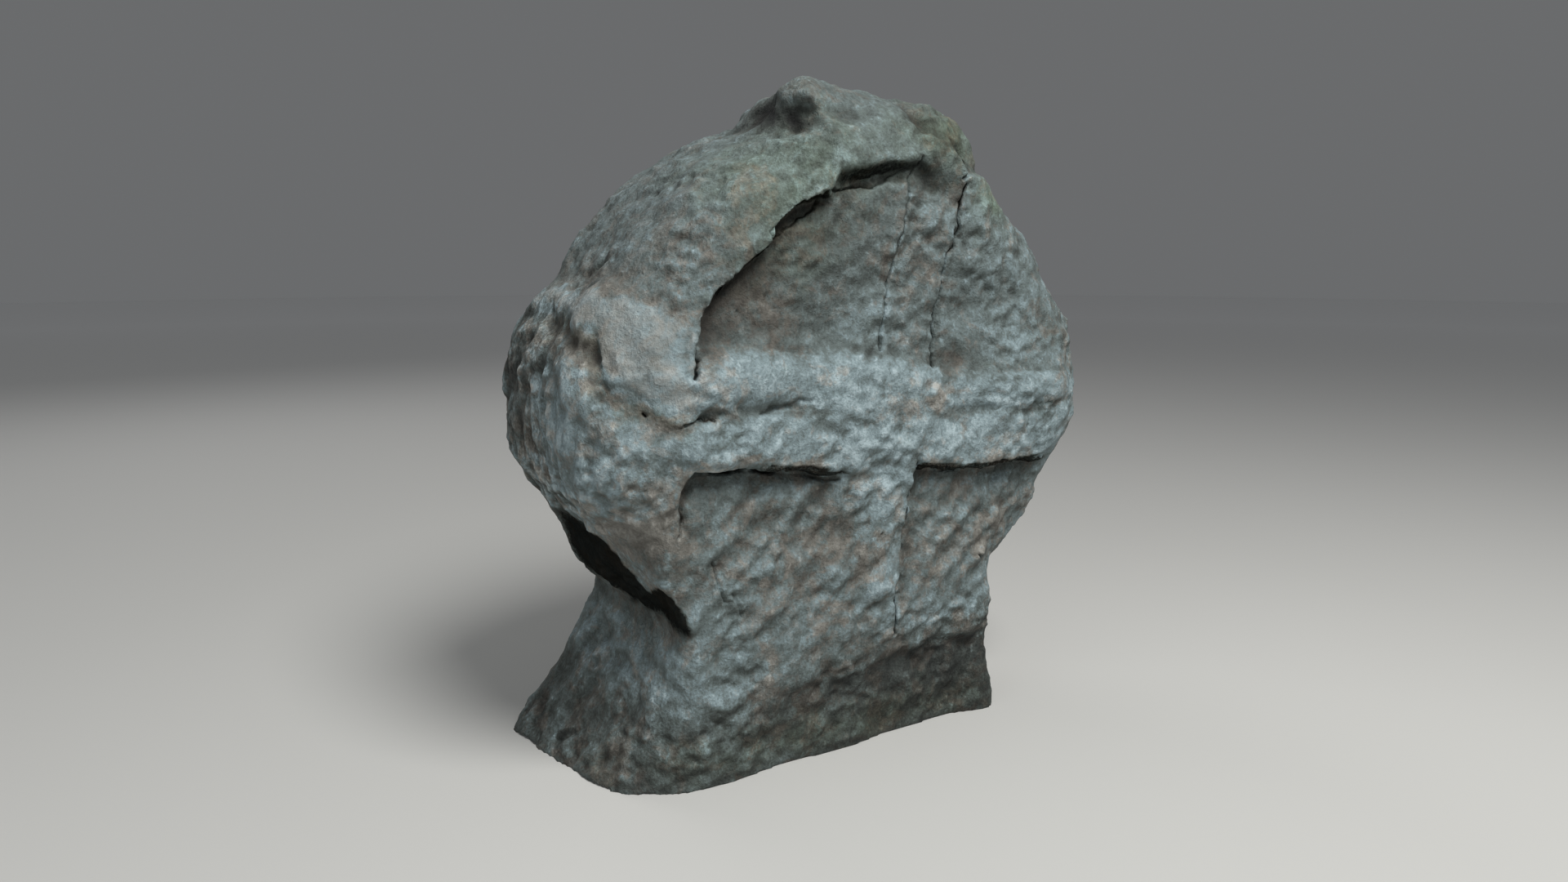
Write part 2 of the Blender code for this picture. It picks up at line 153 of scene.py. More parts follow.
# The hollow under the left arm's shelf, as distance behind the face plane and height
SHELF_EDGE = ((-0.03, 0.04), (0.00, 0.07), (0.04, 0.11), (0.11, 0.15), (0.16, 0.23), (0.21, 0.33),
              (0.40, 0.40), (0.63, 0.41), (1.00, 0.44))
FACET_SLOPE = (-0.60, -0.73, 0.37)
SOFFIT_HOLLOW = (-0.15, 0.965)
STEM_HOLLOW = (0.15, 0.985)
STEM_LUMP = (-0.01, -0.77)
RECESS_LUMP = (-0.27, -0.70)
NECK_LUMP = (0.30, -0.95)
CHIP = (-0.05, -0.87)

# Fine relief of the skin: heights and widths in metres, and where each noise is taken
DIMPLE_HEIGHT = 0.003
DIMPLE_WIDTH = 0.022
DIMPLE_SEED = (4.4, 1.3, 8.8)
PIT_HEIGHT = 0.0028
PIT_WIDTH = 0.013
PIT_MIDDLE = 0.45
PIT_SEED = (2.0, 5.0, 3.0)
NOISE_FINENESS = 0.8
NOISE_LACUNARITY = 2.1

# How strong dimples and pits are: at least, how much more in lively places, how much less at the back
LIVELY_LEAST = 0.65
LIVELY_RISE = 0.65
LIVELY_RANGE = (-0.25, 0.3)
LIVELY_WIDTH = 0.06
LIVELY_SEED = (7.3, 2.8, 0.6)
CALM_BACK = 0.35

# Streaks in the fields below the band, and how far behind the face they end
STREAK_HEIGHT = 0.003
STREAK_WIDTH = 0.015
STREAK_LENGTH = 0.055
STREAK_ANGLE = math.radians(40.0)
STREAK_SEED = (0.9, 6.6, 3.5)
STREAK_REACH = (0.02, 0.06)

# Furrows on the left arm's end, less above it, and on the foot's left side, and where those places begin
FURROW_HEIGHT = 0.0042
FURROW_WIDTH = 0.014
FURROW_STRETCH = np.array((1.0, 1.0, 0.35))
FURROW_SEED = (6.1, 0.4, 2.7)
FURROWS_LESS_ABOVE = 0.75
FURROWS_ON_FOOT = 0.6
ARM_END_LEFT = (0.27, 0.3)
ARM_END_ABOVE = (0.085, 0.105)
FOOT_SIDE_LEFT = (0.205, 0.225)
FOOT_SIDE_BELOW = (0.19, 0.23)
FOOT_SIDE_BEHIND = (0.01, 0.04)

# What counts as fully raised, cracked or hollow for the colours, in metres, and as factors
RAISED_RELIEF = 0.0042
RAISED_FURROW = 0.0014
RAISED_PECKS = 0.25
FULL_CRACK = 0.005
# Hollows and crevices get painted shade, read from how the field bends over this reach and with this gain
HOLLOW_REACH = 0.01
HOLLOW_GAIN = 1.2

# Directions of the sky, as rings of height and count, and the distances where stone may cover it; where it
# does, the colour gets painted shade
SKY_RINGS = ((0.92, 4), (0.6, 7), (0.2, 9))
SKY_STEPS = (0.012, 0.035, 0.09)
SKY_LIFT = 0.004
SKY_CLEAR = (-0.1, 0.15)
NO_SKY = 1e-6

# How far the stains' edges wander, in shares of FACE_RADIUS, and the width of a bend in metres
EDGE_WANDER = 0.04
EDGE_WANDER_WIDTH = 0.03
EDGE_WANDER_SEED = (5.2, 1.4, 8.1)

# Painted light and shade: facets that lean towards the light are paler, the others darker
FACET_CONTRAST = 1.5
PAINTED_LIGHT_SIDE = (-0.3, -0.1, 0.95)

# How pale the stone is at each depth of the carving, as depth in metres and tone: paler on the raised band,
# and darker deeper in the sunk fields, which paints in their shade
TONE_AND_SHADE_OF_DEPTH = ((-0.01, 1.75), (-0.004, 1.45), (0.0, 1.05), (0.006, 0.9), (0.014, 0.8), (0.024, 0.6))

# Soft patches: place and radii in shares of FACE_RADIUS as across, into the stone and up, then strength
TONE_PATCHES = (
    ((-1.14, 0.1, 0.35), (0.22, 0.3, 0.16), 0.2),
    ((-1.25, 0.6, 0.47), (0.3, 0.6, 0.12), 0.4),
    ((-1.3, 0.15, 0.0), (0.25, 0.3, 0.35), 0.62),
    ((-0.5, 0.0, -0.12), (0.35, 0.2, 0.07), 0.15),
    ((-0.05, 0.0, -0.35), (0.15, 0.2, 0.15), 0.45),
    ((-0.4, 0.0, -0.5), (0.45, 0.2, 0.28), 0.1),
    ((0.5, 0.0, -0.55), (0.35, 0.2, 0.3), 0.15),
    ((-1.2, 0.5, -1.15), (0.35, 0.8, 0.3), 0.2),
    ((-0.18, 0.0, 0.36), (0.22, 0.2, 0.17), 0.26),
    ((0.62, 0.0, 0.4), (0.28, 0.2, 0.25), 0.12),
    ((0.3, 0.0, -0.9), (0.2, 0.2, 0.1), 0.18),
    ((-0.86, 0.0, -1.1), (0.12, 0.2, 0.3), 0.15),
    ((-0.08, 0.0, 0.26), (0.28, 0.2, 0.1), 0.3),
    ((-0.95, 0.3, -1.1), (0.25, 0.5, 0.25), 0.12),
    ((0.66, 0.0, 0.22), (0.24, 0.2, 0.08), 0.25),
    ((-1.38, 0.38, 0.05), (0.15, 0.16, 0.35), 0.3),
    ((-0.5, 0.03, 0.8), (0.14, 0.12, 0.1), 0.3),
)
# Most shade patches paint shade into the colour: in the knob's hollow, under the rim, in the upper recess, on
# the knob's and foot's right and at the far left of the arm's end; a few are dark stains
SHADE_PATCHES = (
    ((-0.72, 0.05, 0.48), (0.16, 0.15, 0.12), 0.2),
    ((-1.08, 0.12, -0.52), (0.14, 0.2, 0.1), 0.15),
    ((-0.42, 0.05, 0.7), (0.24, 0.15, 0.16), 0.43),
    ((-0.17, 0.05, 0.96), (0.15, 0.15, 0.055), 0.05),
    ((0.16, 0.05, 0.985), (0.11, 0.15, 0.055), 0.5),
    ((-0.36, 0.46, 1.22), (0.13, 0.22, 0.075), 0.95),
    ((-0.4, 0.19, 1.17), (0.08, 0.11, 0.05), 0.85),
    ((0.22, 0.1, 1.12), (0.15, 0.2, 0.09), 0.34),
    ((0.55, 0.0, -1.3), (0.6, 0.6, 0.25), 0.42),
    ((-0.6, 0.0, 0.44), (0.15, 0.15, 0.14), 0.2),
    ((-0.06, 0.0, 0.59), (0.05, 0.1, 0.06), 0.25),
    ((0.32, 0.0, 0.18), (0.09, 0.1, 0.05), 0.25),
    ((-0.05, 0.15, 1.24), (0.3, 0.4, 0.1), 0.16),
    ((-0.2, 0.0, -1.3), (0.6, 0.3, 0.15), 0.12),
    ((-1.4, 0.85, 0.05), (0.2, 0.22, 0.45), 0.45),
)
BROWN_PATCHES = (
    ((-1.1, 0.15, -0.42), (0.2, 0.3, 0.22), 0.9),
    ((-1.1, 0.05, -0.23), (0.12, 0.2, 0.05), 0.8),
    ((-1.28, 0.25, 0.27), (0.12, 0.25, 0.08), 0.7),
    ((-1.34, 0.6, -0.05), (0.2, 0.4, 0.3), 0.3),
    ((-0.61, 0.0, 0.43), (0.16, 0.2, 0.16), 0.6),
    ((-0.35, 0.0, -0.6), (0.45, 0.2, 0.25), 0.3),
    ((0.22, 0.0, 0.01), (0.16, 0.2, 0.08), 0.9),
    ((-0.31, 0.0, 0.48), (0.06, 0.1, 0.09), 0.8),
    ((-0.06, 0.0, 0.59), (0.06, 0.1, 0.08), 0.8),
    ((0.14, 0.0, 0.58), (0.12, 0.1, 0.1), 0.8),
    ((0.32, 0.0, 0.18), (0.09, 0.1, 0.05), 0.9),
    ((-0.2, 0.0, 0.36), (0.2, 0.2, 0.16), -0.5),
    ((0.62, 0.0, 0.42), (0.28, 0.3, 0.3), -0.5),
    ((-0.84, 0.0, -0.38), (0.13, 0.2, 0.16), -0.5),
    ((-0.86, 0.0, -1.1), (0.14, 0.2, 0.35), -0.6),
    ((0.3, 0.0, -0.9), (0.2, 0.2, 0.1), -0.5),
    ((-0.3, 0.2, 1.1), (0.6, 0.6, 0.22), -0.4),
    ((0.45, 0.0, -0.7), (0.3, 0.2, 0.12), 0.6),
    ((0.25, 0.0, 0.6), (0.45, 0.3, 0.35), -0.35),
    ((-0.35, 0.0, 0.6), (0.3, 0.3, 0.3), -0.25),
)
GREEN_PATCHES = (
    ((0.3, 0.2, 1.15), (0.25, 0.4, 0.12), 0.9),
    ((0.55, 0.0, 0.9), (0.15, 0.3, 0.12), 1.0),
    ((-0.4, 0.1, 1.02), (0.55, 0.5, 0.2), 0.5),
    ((-0.1, 0.0, -1.42), (1.2, 0.6, 0.13), 0.5),
    ((-0.55, 0.0, 0.72), (0.25, 0.3, 0.22), 0.5),
)
# Spots with calmer relief: the shelf, the smooth place under the left arm and the band's crest
CALM_SPOTS = (
    ((-1.16, 0.15, 0.38), (0.24, 0.45, 0.14), 0.6),
    ((-1.08, 0.1, -0.5), (0.16, 0.25, 0.16), 0.7),
    ((-0.6, 0.0, 0.17), (0.32, 0.2, 0.09), 0.4),
)
# The most that shade patches darken the stone together
DARKEST_SHADE = 0.95

# How much stains and painted light and shade darken or lighten the stone and make it brown or green, unmixed,
# even or patchy
# Painted shade along the inside of the rim, less at its top, and the brown stain there
RIM_PAINTED_SHADE = 0.48
RIM_PAINTED_SHADE_LESS_AT_TOP = 0.2
RIM_STAIN_BROWN = 0.5
# Painted shade and brown stain on the band's underside, and painted light at its lip and on the field below
UNDERSIDE_PAINTED_SHADE = 0.34
UNDERSIDE_BROWN = 0.9
PAINTED_LIGHT_LIP_PALE = 0.7
PAINTED_LIGHT_FIELD_PALE = 0.45
# The shelf is paler, partly as painted light on its up-facing top; the bevel under its edge gets painted
# shadow and the head just over it painted shade
SHELF_PALE_AND_PAINTED_LIGHT = 0.4
SHELF_BROWN = 0.7
SHELF_UNMIXED = 0.65
SHELF_EVEN = 0.25
BEVEL_PAINTED_SHADOW = 0.26
BEVEL_BROWN = 0.6
BEVEL_GREEN = 0.25
OVER_SHELF_PAINTED_SHADE = 0.28
OVER_SHELF_BROWN = 0.4
HEAD_EDGE_UNMIXED = 0.45
PATCHY_MORE = 0.4
# The painted shadow strip below the head fades towards the back, and the painted penumbra below it darkens by
# this much
STRIP_LESS_AT_BACK = 0.85
PAINTED_PENUMBRA_DARK = 0.35
# Painted shade where the stone faces down
FACING_DOWN_PAINTED_SHADE = 0.8

# Painted shade and light along a line of the carving, with their stains, as middle above the line and width,
# both in shares of FACE_RADIUS
UNDERSIDE = (0.036, 0.034)
PAINTED_LIGHT_LIP = (0.008, 0.026)
PAINTED_LIGHT_FIELD = (-0.06, 0.045)
BEVEL = (-0.05, 0.05)

# How strong the painted shade on the band's underside, and the painted light at its lip and on the field
# below, are along the band's base
UNDERSIDE_SPAN = ((-0.98, 0.0), (-0.92, 1.0), (-0.42, 1.0), (-0.3, 0.3), (-0.2, 0.0), (0.12, 0.0),
                  (0.18, 1.0), (0.78, 1.0), (0.92, 0.0))

# The crease between the left arm's shelf and the head, as across and height
SHELF_CREASE = ((-1.3, 0.53), (-1.2, 0.5), (-1.13, 0.46), (-1.05, 0.44), (-1.0, 0.405), (-0.95, 0.36),
                (-0.9, 0.33))

# Upper and lower edge of the painted shadow strip below the head's overhanging left, as distance behind the
# face and height
PAINTED_SHADOW_EDGE = ((0.0, -0.84), (0.02, -0.78), (0.03, -0.74), (0.04, -0.69), (0.1, -0.67), (0.23, -0.68),
                 (0.27, -0.64), (0.31, -0.57), (0.36, -0.51), (0.44, -0.45), (0.52, -0.4), (0.76, -0.36))
PAINTED_SHADOW_END = ((0.03, -0.85), (0.1, -0.83), (0.3, -0.83), (0.42, -0.82), (0.56, -0.79), (0.73, -0.78))

# Noise patterns in the stone's colour: width of a patch in metres, detail, roughness, distortion, stretch
PATTERNS = {
    "stain": (0.032, 5.0, 0.6, 1.0),
    "smudge": (0.013, 3.0, 0.6, 0.6),
    "mottle": (0.012, 5.0, 0.66, 0.6),
    "streak": (0.007, 4.0, 0.62, 0.3, (1.0, 1.0, 0.45)),
    "grain": (0.0028, 3.0, 0.65),
    "fleck": (0.0075, 2.0, 0.5, 0.5, (1.0, 1.0, 0.7)),
    "blot": (0.015, 3.0, 0.6),
    "rust": (0.009, 3.0, 0.6, 0.8),
    "ragged": (0.03, 5.0, 0.68),
}
# What the skin stores at each vertex, each from 0 to 1: tone and contrast at half, brown from its middle
ATTRIBUTES = ("raised", "crack", "hollow", "sky", "painted_facet_light", "tone", "painted_shade", "foot_soil", "brown",
              "mixed", "contrast", "green")

# Each is a range of a pattern or attribute and what its two ends give: here, a factor of the stone's paleness
UNEVEN = (
    ("mottle", (0.3, 0.7, 0.8, 1.2)),
    ("streak", (0.3, 0.7, 0.82, 1.18)),
    ("grain", (0.3, 0.7, 0.75, 1.25)),
    # Painted highlight and shade on the fine relief: raised bumps paler, pits and furrows darker
    ("raised", (0.0, 1.0, 0.72, 1.28)),
    # Painted light and shade on facets, by how they lean towards the light
    ("painted_facet_light", (0.0, 1.0, 0.6, 1.4)),
    ("fleck", (0.6, 0.74, 1.0, 1.5)),
    ("smudge", (0.56, 0.72, 1.0, 1.25)),
    ("blot", (0.28, 0.4, 0.72, 1.0)),
)
FOOT_SOIL = (0.1, 0.9, 1.0, 0.52)
# Painted shade below the head and where the stone faces down, as its range and the factors it gives
PAINTED_SHADE_RANGE = (0.2, 0.8, 1.0, 0.06)
# Painted shade in hollows
HOLLOW_PAINTED_SHADE = (0.55, 1.0, 1.0, 0.62)
# Painted shade where the stone hides the sky
SKY_PAINTED_SHADE = (0.15, 0.9, 0.26, 1.0)
# Here, what is added to the edge of the painted shade, and to the share of brown
STIPPLE = (0.3, 0.7, -0.2, 0.2)
STIPPLE_RAGGED = 0.3
BROWN_PATTERNS = (
    ("stain", (0.46, 0.6, -0.15, 0.75)),
    ("smudge", (0.54, 0.68, 0.0, -0.8)),
    ("rust", (0.35, 0.65, -0.35, 0.35)),
)
BROWN = (0.0, 1.0, -0.85, 1.15)
BROWN_WHERE_PALE = (0.5, 0.75, 0.0, -0.45)
BROWN_RAGGED = 0.8
# And here the share of green or of the cracks' colour, the roughness and the shine
GREEN = (0.1, 0.9, 0.0, 1.0)
CRACKED = (0.3, 0.85, 0.0, 0.95)
ROUGHNESS = (0.3, 0.7, 0.92, 0.76)
SHINE = (0.1, 0.7, 0.35, 0.0)
BUMP_STRENGTH = 0.8
BUMP_DISTANCE = 0.003
BUMP_GRAIN = 0.6

# Colours, by how pale the stone is as a share of the brightest level
MEAN_LEVEL = 0.155
BRIGHTEST_LEVEL = 0.45
CLEAN_COLOURS = (
    (0.0, (0.004, 0.004, 0.004)),
    (0.15, (0.059, 0.069, 0.064)),
    (0.35, (0.13, 0.162, 0.16)),
    (0.6, (0.216, 0.281, 0.299)),
    (1.0, (0.381, 0.47, 0.497)),
)
BROWN_COLOURS = (
    (0.0, (0.004, 0.004, 0.003)),
    (0.15, (0.071, 0.066, 0.057)),
    (0.35, (0.156, 0.151, 0.134)),
    (0.6, (0.268, 0.262, 0.236)),
    (1.0, (0.45, 0.448, 0.42)),
)
GREEN_TINT = (0.95, 1.0, 0.8)
CRACK_COLOUR = (0.006, 0.006, 0.005)

# Cracks and edge lines on the face: points in shares of FACE_RADIUS, width and depth in metres
CRACKS = (
    (((-0.95, 0.19), (-0.93, 0.25), (-0.91, 0.32), (-0.88, 0.39), (-0.85, 0.45), (-0.83, 0.5), (-0.76, 0.54),
      (-0.74, 0.57), (-0.68, 0.62), (-0.65, 0.64), (-0.59, 0.69)), 0.0017, 0.006),
    (((-0.59, 0.69), (-0.52, 0.74), (-0.44, 0.79), (-0.37, 0.85), (-0.31, 0.92)), 0.0014, 0.004),
    (((-0.59, 0.69), (-0.61, 0.73), (-0.57, 0.75), (-0.51, 0.8), (-0.47, 0.84), (-0.42, 0.86), (-0.36, 0.89),
      (-0.28, 0.9), (-0.11, 0.91), (-0.03, 0.96), (0.06, 0.99)), 0.0013, 0.0035),
    (((0.35, 0.94), (0.32, 0.87), (0.32, 0.8), (0.3, 0.69), (0.27, 0.65), (0.25, 0.51), (0.23, 0.39),
      (0.22, 0.29), (0.21, 0.17)), 0.0013, 0.0055),
    (((0.11, 1.04), (0.1, 1.0), (0.06, 0.94), (0.06, 0.86), (0.04, 0.77), (0.01, 0.67), (-0.01, 0.57),
      (-0.04, 0.45), (-0.06, 0.25)), 0.0013, 0.0035),
    (((0.14, -0.25), (0.13, -0.34), (0.1, -0.45), (0.09, -0.59), (0.07, -0.74), (0.06, -0.86),
      (0.07, -1.03)), 0.0019, 0.006),
    (((-0.94, -0.19), (-0.98, -0.25), (-0.97, -0.38), (-0.98, -0.44)), 0.0014, 0.0035),
    (((-0.94, -0.19), (-0.85, -0.2), (-0.76, -0.21), (-0.67, -0.2), (-0.59, -0.23), (-0.53, -0.23),
      (-0.41, -0.22)), 0.0018, 0.005),
    (((-0.45, -0.24), (-0.35, -0.27), (-0.29, -0.29), (-0.25, -0.29)), 0.0018, 0.003),
    (((0.14, -0.26), (0.21, -0.27), (0.36, -0.3), (0.5, -0.28), (0.67, -0.29), (0.83, -0.31),
      (0.88, -0.29)), 0.0016, 0.003),
    (((-0.98, 0.01), (-0.93, 0.02), (-0.88, 0.03), (-0.86, 0.02)), 0.0014, 0.0035),
    (((-0.65, 0.03), (-0.57, 0.05), (-0.48, 0.06), (-0.42, 0.07)), 0.003, 0.003),
    (((-0.84, -0.56), (-0.82, -0.65), (-0.79, -0.73)), 0.0014, 0.0028),
    (((-0.76, -0.7), (-0.73, -0.76), (-0.71, -0.81)), 0.0014, 0.0022),
    (((0.37, 1.03), (0.36, 0.98), (0.33, 0.96)), 0.0016, 0.004),
    (((-1.125, 0.055), (-1.115, 0.045)), 0.0013, 0.004),
    (((0.555, -0.735), (0.57, -0.745)), 0.0016, 0.004),
)
# How far behind the face cracks reach, how far beside them the mesh is split, how they wander and fade
CRACK_REACH = 0.06
CRACK_MARGIN = 0.0065
CRACK_WANDER = 0.002
CRACK_WANDER_WIDTH = 0.012
CRACK_SEED = (1.7, 3.9, 0.8)
CRACK_FADING = 0.35
CRACK_MEAN = 0.92


def smooth_step(value, low, high):
    t = np.clip((value - low) / (high - low), 0.0, 1.0)
    return t * t * (3.0 - 2.0 * t)


def along(value, line):
    """The height of a carved line at each value, straight between its points."""
    places, heights = zip(*line)
    return np.interp(value, places, heights)


def mound(u, v, middle, radii, turn=0.0):
    """A soft oval swelling of height 1 at its middle."""
    across = (u - middle[0]) * np.cos(turn) + (v - middle[1]) * np.sin(turn)
    upward = (v - middle[1]) * np.cos(turn) - (u - middle[0]) * np.sin(turn)
    return np.exp(-(across / radii[0]) ** 2 - (upward / radii[1]) ** 2)


def worn_corner(a, b, radius):
    """Both forms at once, with the edge between them rounded to a radius."""
    outside = np.hypot(np.maximum(a + radius, 0.0), np.maximum(b + radius, 0.0))
    return np.minimum(np.maximum(a, b), -radius) + outside


def grown_together(a, b, fillet):
    """Either form, with a soft hollow where they meet."""
    t = np.clip(0.5 + 0.5 * (b - a) / fillet, 0.0, 1.0)
    return b + (a - b) * t - fillet * t * (1.0 - t)


def upper_recess(u, v, rho, stem_left, stem_right):
    """The sunk field above the band: deep along the rim, shallow at the stem and to its right."""
    degrees_left_of_top = np.degrees(np.arctan2(RIM_SHIFT - u, v))
    ragged = np.sin(23.0 * u + 9.0 * v) + 0.6 * np.sin(41.0 * v - 17.0 * u)
    rim = along(degrees_left_of_top, RIM_LINE) + RIM_RAGGEDNESS * ragged
    wall = 0.018 + 0.08 * smooth_step(u, -0.40, -0.25) + 0.05 * smooth_step(u, 0.05, 0.25)
    inside = smooth_step(rim - rho, -0.01, wall)
    above = smooth_step(v - along(u, BAND_TOP), -0.05, 0.12)
    off_stem = 1.0 - smooth_step(u - stem_left, -0.10, 0.10)
    left_of_edge = 1.0 - smooth_step(u - stem_right, -0.02, 0.02)
    field_depth = UPPER_RECESS_DEPTH * (0.38 + 0.62 * np.exp(-np.maximum(rim - rho, 0.0) / 0.30))
    stem_depth = STEM_SINK * (1.0 + 1.0 * smooth_step(v, 0.75, 1.0))
    right_depth = STEM_SINK * (1.4 - 0.8 * smooth_step(u, 0.3, 0.6)) * smooth_step(1.08 - rho, 0.0, 0.30)
    left_depth = inside * (off_stem * field_depth + (1.0 - off_stem) * stem_depth)
    hollows = 0.6 * mound(u, v, SOFFIT_HOLLOW, (0.14, 0.05), 0.25)
    hollows = hollows + 0.5 * mound(u, v, STEM_HOLLOW, (0.09, 0.05), -0.4)
    sunk = above * (left_of_edge * left_depth + (1.0 - left_of_edge) * right_depth)
    return sunk + inside * HOLLOW_DEPTH * hollows


def double_band(u, v):
    """Two rolls side by side across the head, with a groove between them that fades in the middle."""
    top, groove, base = (along(u, line) for line in (BAND_TOP, BAND_GROOVE, BAND_BASE))
    upper = (v - groove) / (top - groove)
    lower = (groove - v) / (groove - base) * LOWER_ROLL_PART
    roll = np.sin(np.pi * np.clip(np.where(v > groove, upper, lower), 0.0, 1.0)) ** ROLL_FULLNESS
    roll = np.maximum(roll, 1.0 - along(u, GROOVE_STRENGTH) * (1.0 - roll))
    soft = 0.15 * (1.0 - smooth_step(u, -1.00, -0.93)) + 0.10 * smooth_step(u, 0.82, 0.92)
    soft = soft + 0.22 * smooth_step(u, -0.34, -0.20) * (1.0 - smooth_step(u, 0.10, 0.16))
    on_band = smooth_step(v - base, -0.012 - soft, 0.040 + soft) * (1.0 - smooth_step(v - top, -0.03, 0.06))
    ends = smooth_step(u, -1.12, -0.95) * (1.0 - 0.6 * smooth_step(u, 0.85, 1.05))
    return BAND_RISE * roll * on_band * ends


def lower_recesses(u, v, stem_left, stem_right):
    """The fields to either side of the stem below the band: deepest under the band, run out at the neck."""
    below = 1.0 - smooth_step(v - along(u, BAND_BASE), -0.02, 0.008)
    floor = LOWER_RECESS_DEPTH * (1.0 - 0.85 * smooth_step(-v, 0.22, 0.88))
    corner = -0.05 * smooth_step(v, -0.30, -0.17)
    fading = 0.30 * smooth_step(-v, 0.38, 0.62)
    left = smooth_step(u + 0.99 + corner, -0.012 - 0.3 * fading, 0.025 + fading)
    left = left * (1.0 - smooth_step(u - stem_left, -0.16, 0.08))
    left = left * (1.0 - 0.8 * smooth_step(u, -0.34, -0.20) * smooth_step(v, -0.55, -0.30))
    left = left * (1.0 - 0.5 * smooth_step(-u, 0.65, 0.95) * smooth_step(-v, 0.22, 0.34))
    right = smooth_step(u - stem_right, -0.01, 0.015) * (1.0 - smooth_step(u, 0.82, 0.98))
    return below * floor * (left + right) * (1.0 - smooth_step(-v, 0.85, 1.05))


def worn_places(u, v):
    """Lumps left standing low on the face and a chip beside them, in shares of BAND_RISE."""
    lumps = 0.8 * mound(u, v, STEM_LUMP, (0.08, 0.08)) + 0.7 * mound(u, v, RECESS_LUMP, (0.07, 0.10))
    lumps = lumps + 0.5 * mound(u, v, NECK_LUMP, (0.25, 0.07))
    return BAND_RISE * (0.3 * mound(u, v, CHIP, (0.08, 0.04)) - lumps)


def ledge(u, v):
    """Below a slanting line on the foot the face is broken back."""
    height = (LEDGE_HEIGHT - HEAD_CENTRE_HEIGHT) / FACE_RADIUS + along(u, LEDGE_LINE)
    broken = (1.0 - smooth_step(v - height, -0.07, 0.03)) * smooth_step(u, -0.8, -0.1)
    strength = (0.5 + 0.5 * smooth_step(u, -0.2, 0.3)) * (1.0 - 0.7 * smooth_step(u, 0.45, 0.68))
    return LEDGE_STEP * broken * strength


def hood(u, v):
    """To the right of a ridge on the knob the face stands back behind a raised lip."""
    above_lip = smooth_step(v - along(u, HOOD_LINE), -0.01, 0.04)
    return HOOD_STEP * above_lip * smooth_step(u - 0.12 + 0.35 * (v - 1.1), -0.03, 0.05)


def face_depth(x, z):
    """How far the carved face lies behind its flat plane, in metres."""
    u = x / FACE_RADIUS
    v = z / FACE_RADIUS
    rho = np.hypot(u - RIM_SHIFT, v)
    stem_left = along(v, STEM_LEFT)
    stem_right = along(v, STEM_RIGHT)
    sunk = upper_recess(u, v, rho, stem_left, stem_right) + lower_recesses(u, v, stem_left, stem_right)
    return sunk - double_band(u, v) + worn_places(u, v) + ledge(u, v) + hood(u, v)


def slab(outline, front, back, wear):
    """An outline across the stone's thickness, with worn front and back edges."""
    return worn_corner(worn_corner(outline, front, wear), back, BACK_WEAR)


def head(x, y, z, front, back):
    """The round head: a little flat at the upper right, and fuller and less worn at the lower left."""
    lower = smooth_step(-z, 0.25 * HEAD_RADIUS, 0.6 * HEAD_RADIUS)
    fuller = lower * smooth_step(-x, 0.35 * HEAD_RADIUS, 0.65 * HEAD_RADIUS)
    flatter = mound(x, z, (0.58 * HEAD_RADIUS, 0.78 * HEAD_RADIUS), (0.32 * HEAD_RADIUS, 0.32 * HEAD_RADIUS))
    ahead = 1.0 - smooth_step(y, 0.15 * THICKNESS, 0.70 * THICKNESS)
    above = 1.0 - 0.8 * smooth_step(-z, 0.55 * HEAD_RADIUS, 0.80 * HEAD_RADIUS)
    radius = HEAD_RADIUS * (1.0 + 0.048 * fuller * (1.0 - ahead * above) - 0.03 * flatter)
    outline = np.hypot(x - HEAD_SHIFT + 0.02 * y, z - 0.035 * y) - radius
    return slab(outline, front, back, FRONT_WEAR * (1.0 - 0.8 * fuller))


def left_arm(x, y, z, front, back):
    """The broad arm end on the left: a shelf on top with a broken facet before it, and a full end face."""
    reach = HEAD_RADIUS - HEAD_SHIFT + LEFT_ARM_STANDOUT
    half = 0.5 * (LEFT_ARM_TOP + LEFT_ARM_BOTTOM)
    shelf = LEFT_ARM_TOP - 0.5 * np.maximum(-x - 0.95 * HEAD_RADIUS, 0.0)
    upper = 0.15 * smooth_step(z, 0.2 * half, 0.9 * half)
    lower = 0.08 * smooth_step(-z, 0.2 * half, 0.8 * half)
    outline = np.maximum(-x - reach + half * (upper + lower), x + 0.3 * reach)
    outline = worn_corner(worn_corner(outline, z - shelf, 0.2 * half), -z - LEFT_ARM_BOTTOM, 0.9 * half)
    edge = FACE_RADIUS * along(y / FACE_RADIUS, SHELF_EDGE)
    far = smooth_step(y, 0.05 * THICKNESS, 0.5 * THICKNESS)
    hollow = np.exp(-((z - edge + 0.07 * half) / (0.10 * half)) ** 2) * (0.6 + 0.2 * far)
    hollow = hollow * smooth_step(-x, 0.80 * HEAD_RADIUS, 1.0 * HEAD_RADIUS)
    hollow = hollow * (1.0 - smooth_step(y, 0.6 * THICKNESS, 0.9 * THICKNESS))
    facet = FACET_SLOPE[0] * x + FACET_SLOPE[1] * y + FACET_SLOPE[2] * z - LEFT_ARM_FACET
    broken = worn_corner(slab(outline, front, back, FRONT_WEAR), facet, 0.05 * half)
    return broken + 1.2 * BAND_RISE * hollow


def right_arm(x, y, z, front, back):
    reach = HEAD_RADIUS + HEAD_SHIFT + RIGHT_ARM_STANDOUT
    outline = np.maximum(x - reach, 0.3 * reach - x)
    half = np.abs(z - RIGHT_ARM_HEIGHT) - RIGHT_ARM_HALF_WIDTH
    return slab(worn_corner(outline, half, 0.6 * RIGHT_ARM_HALF_WIDTH), front, back, FRONT_WEAR)


